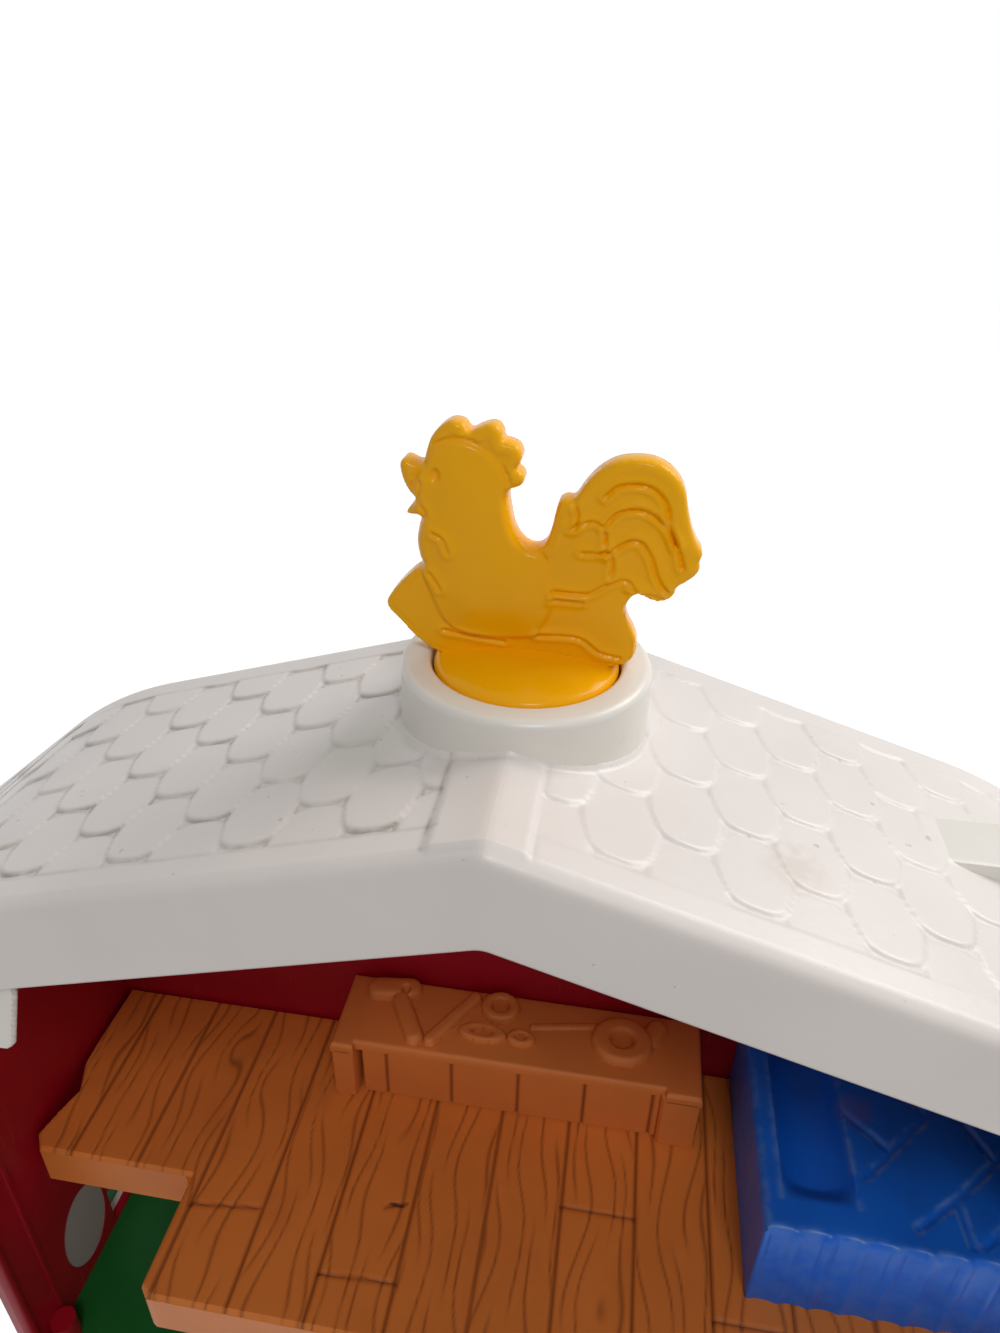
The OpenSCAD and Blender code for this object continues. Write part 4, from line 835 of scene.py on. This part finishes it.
def deck_seams(p):
    """Depth of the joints between flagstones, and how near a point lies to their edges."""
    t = np.min([nearest(p, np.array(line, float))[0] for line in FLAGS], axis=0)
    on_flags = smooth((p[:, 0] - 107) / 3) * smooth((p[:, 1] + 27) / 2)
    return 1.0 * np.exp(-(t / 1.0) ** 2) * on_flags, np.exp(-((t - 1.3) / 0.6) ** 2) * on_flags


def channel(p):
    """Depth of the channel: a half round 22 mm wide that deepens towards the front wall."""
    across = np.clip(1 - ((p[:, 0] - 97) / 10.6) ** 2, 0, 1)
    return (7 + 2 * smooth((p[:, 1] + 14) / 60)) * across ** 0.8 * smooth((p[:, 1] + 20) / 9)


def deck_top(p, d):
    seam, _ = deck_seams(p)
    hump = 0.5 * np.sin(p[:, 0] / 9) * np.sin(p[:, 1] / 11)
    return 147 - rounded(d, 2.4) - channel(p) - seam * 0.8 + hump * smooth(d / 4)


def deck_wear_and_highlight(p, d):
    _, seam_edge = deck_seams(p)
    # Painted highlight with wear along the channel's lips
    lip = np.exp(-((np.abs(p[:, 0] - 97) - 11.3) / 1.0) ** 2) * (p[:, 1] > -20)
    edge = np.exp(-((d - 1.2) / 1.1) ** 2)
    return np.clip(0.9 * seam_edge + 0.6 * lip + 0.6 * edge, 0, 1)


plate("deck_stones", deck_outline, 0.6, deck_top, lambda p, d: 109.0 + 0 * d, flat, blue, "root",
      ["stone_deck"], marks={"wear_and_highlight": deck_wear_and_highlight})

# ---------------------------------------------------------------- walls and base
# Red side and front walls with moulded boards, and a green base tray.
red = Plastic("red_wall", rgb(160, 8, 34), 0.4, 0.08, Specular_IOR_Level=0.3)
scratch = red.noise(1.2, 2, (1, 1, 14)).ramp(0.68, 0.74)
red.lay(0.25 * scratch, rgb(190, 90, 90))
label = red.spot((-165.4, -11, 38.5), (1.0, 13.0, 19.5), 0.03)
red.lay(label, rgb(176, 168, 166))
red.height = red.height + 0.05 * red.noise(3, 3)
red.finish()
green = Plastic("green_base", rgb(20, 98, 40), 0.42, 0.1, Specular_IOR_Level=0.3)
green.height = green.height + 0.08 * green.noise(4, 4)
green.finish()
rubber = Plastic("dark_rubber", rgb(44, 44, 46), 0.7, 0.12)
rubber.finish()
steel = Plastic("zinc_screw", rgb(176, 178, 182), 0.34, 0.08, Metallic=1.0)
steel.finish()

# ---------------------------------------------------------------- doors, hatch, stall and windows
# White trims, doors and window frames on the outside, green hatch shutters and
# a brown stall gate.
trim = Plastic("white_trim", rgb(226, 222, 214), 0.36, 0.03)
scuff = trim.noise(7, 5).ramp(0.62, 0.76)
trim.lay(0.25 * scuff, rgb(190, 182, 170))
trim.finish()
leaf_green = Plastic("green_shutter", rgb(36, 120, 58), 0.38, 0.08)
leaf_green.finish()
gate = Plastic("brown_gate", rgb(150, 82, 42), 0.44, 0.08)
gate.height = gate.height + 0.12 * gate.noise(1.6, 3, (8, 8, 1))
gate.finish()

# ---------------------------------------------------------------- silo
# Blue round tower with a ribbed white cap and a yellow door.
tower = Plastic("blue_silo", rgb(24, 88, 172), 0.36, 0.08)
tower.height = tower.height + 0.1 * tower.noise(6, 3)
tower.finish()
hatch_yellow = Plastic("yellow_door", rgb(240, 166, 16), 0.3, 0.04)
hatch_yellow.finish()
white_cap = Plastic("white_cap", rgb(230, 226, 220), 0.34, 0.03)
white_cap.finish()

for paint, nodes in (
    (red, ("left_wall", "right_wall", "front_wall")), (green, ("base_tray",)), (rubber, ("base_feet",)),
    (steel, ("base_screws", "vane_screw")),
    (trim, ("door_surround", "left_barn_door", "right_barn_door", "hatch_surround", "stall_frame",
            "left_window_frame", "right_window_frame", "side_window_frame", "vane_retainer")),
    (leaf_green, ("left_shutter", "right_shutter")), (gate, ("stall_gate",)),
    (tower, ("silo_shell",)), (hatch_yellow, ("silo_door",)), (white_cap, ("silo_cap",)),
):
    for node in nodes:
        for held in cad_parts[node].material_slots:
            held.material = paint.owner

bpy.context.scene.view_settings.view_transform = "Standard"
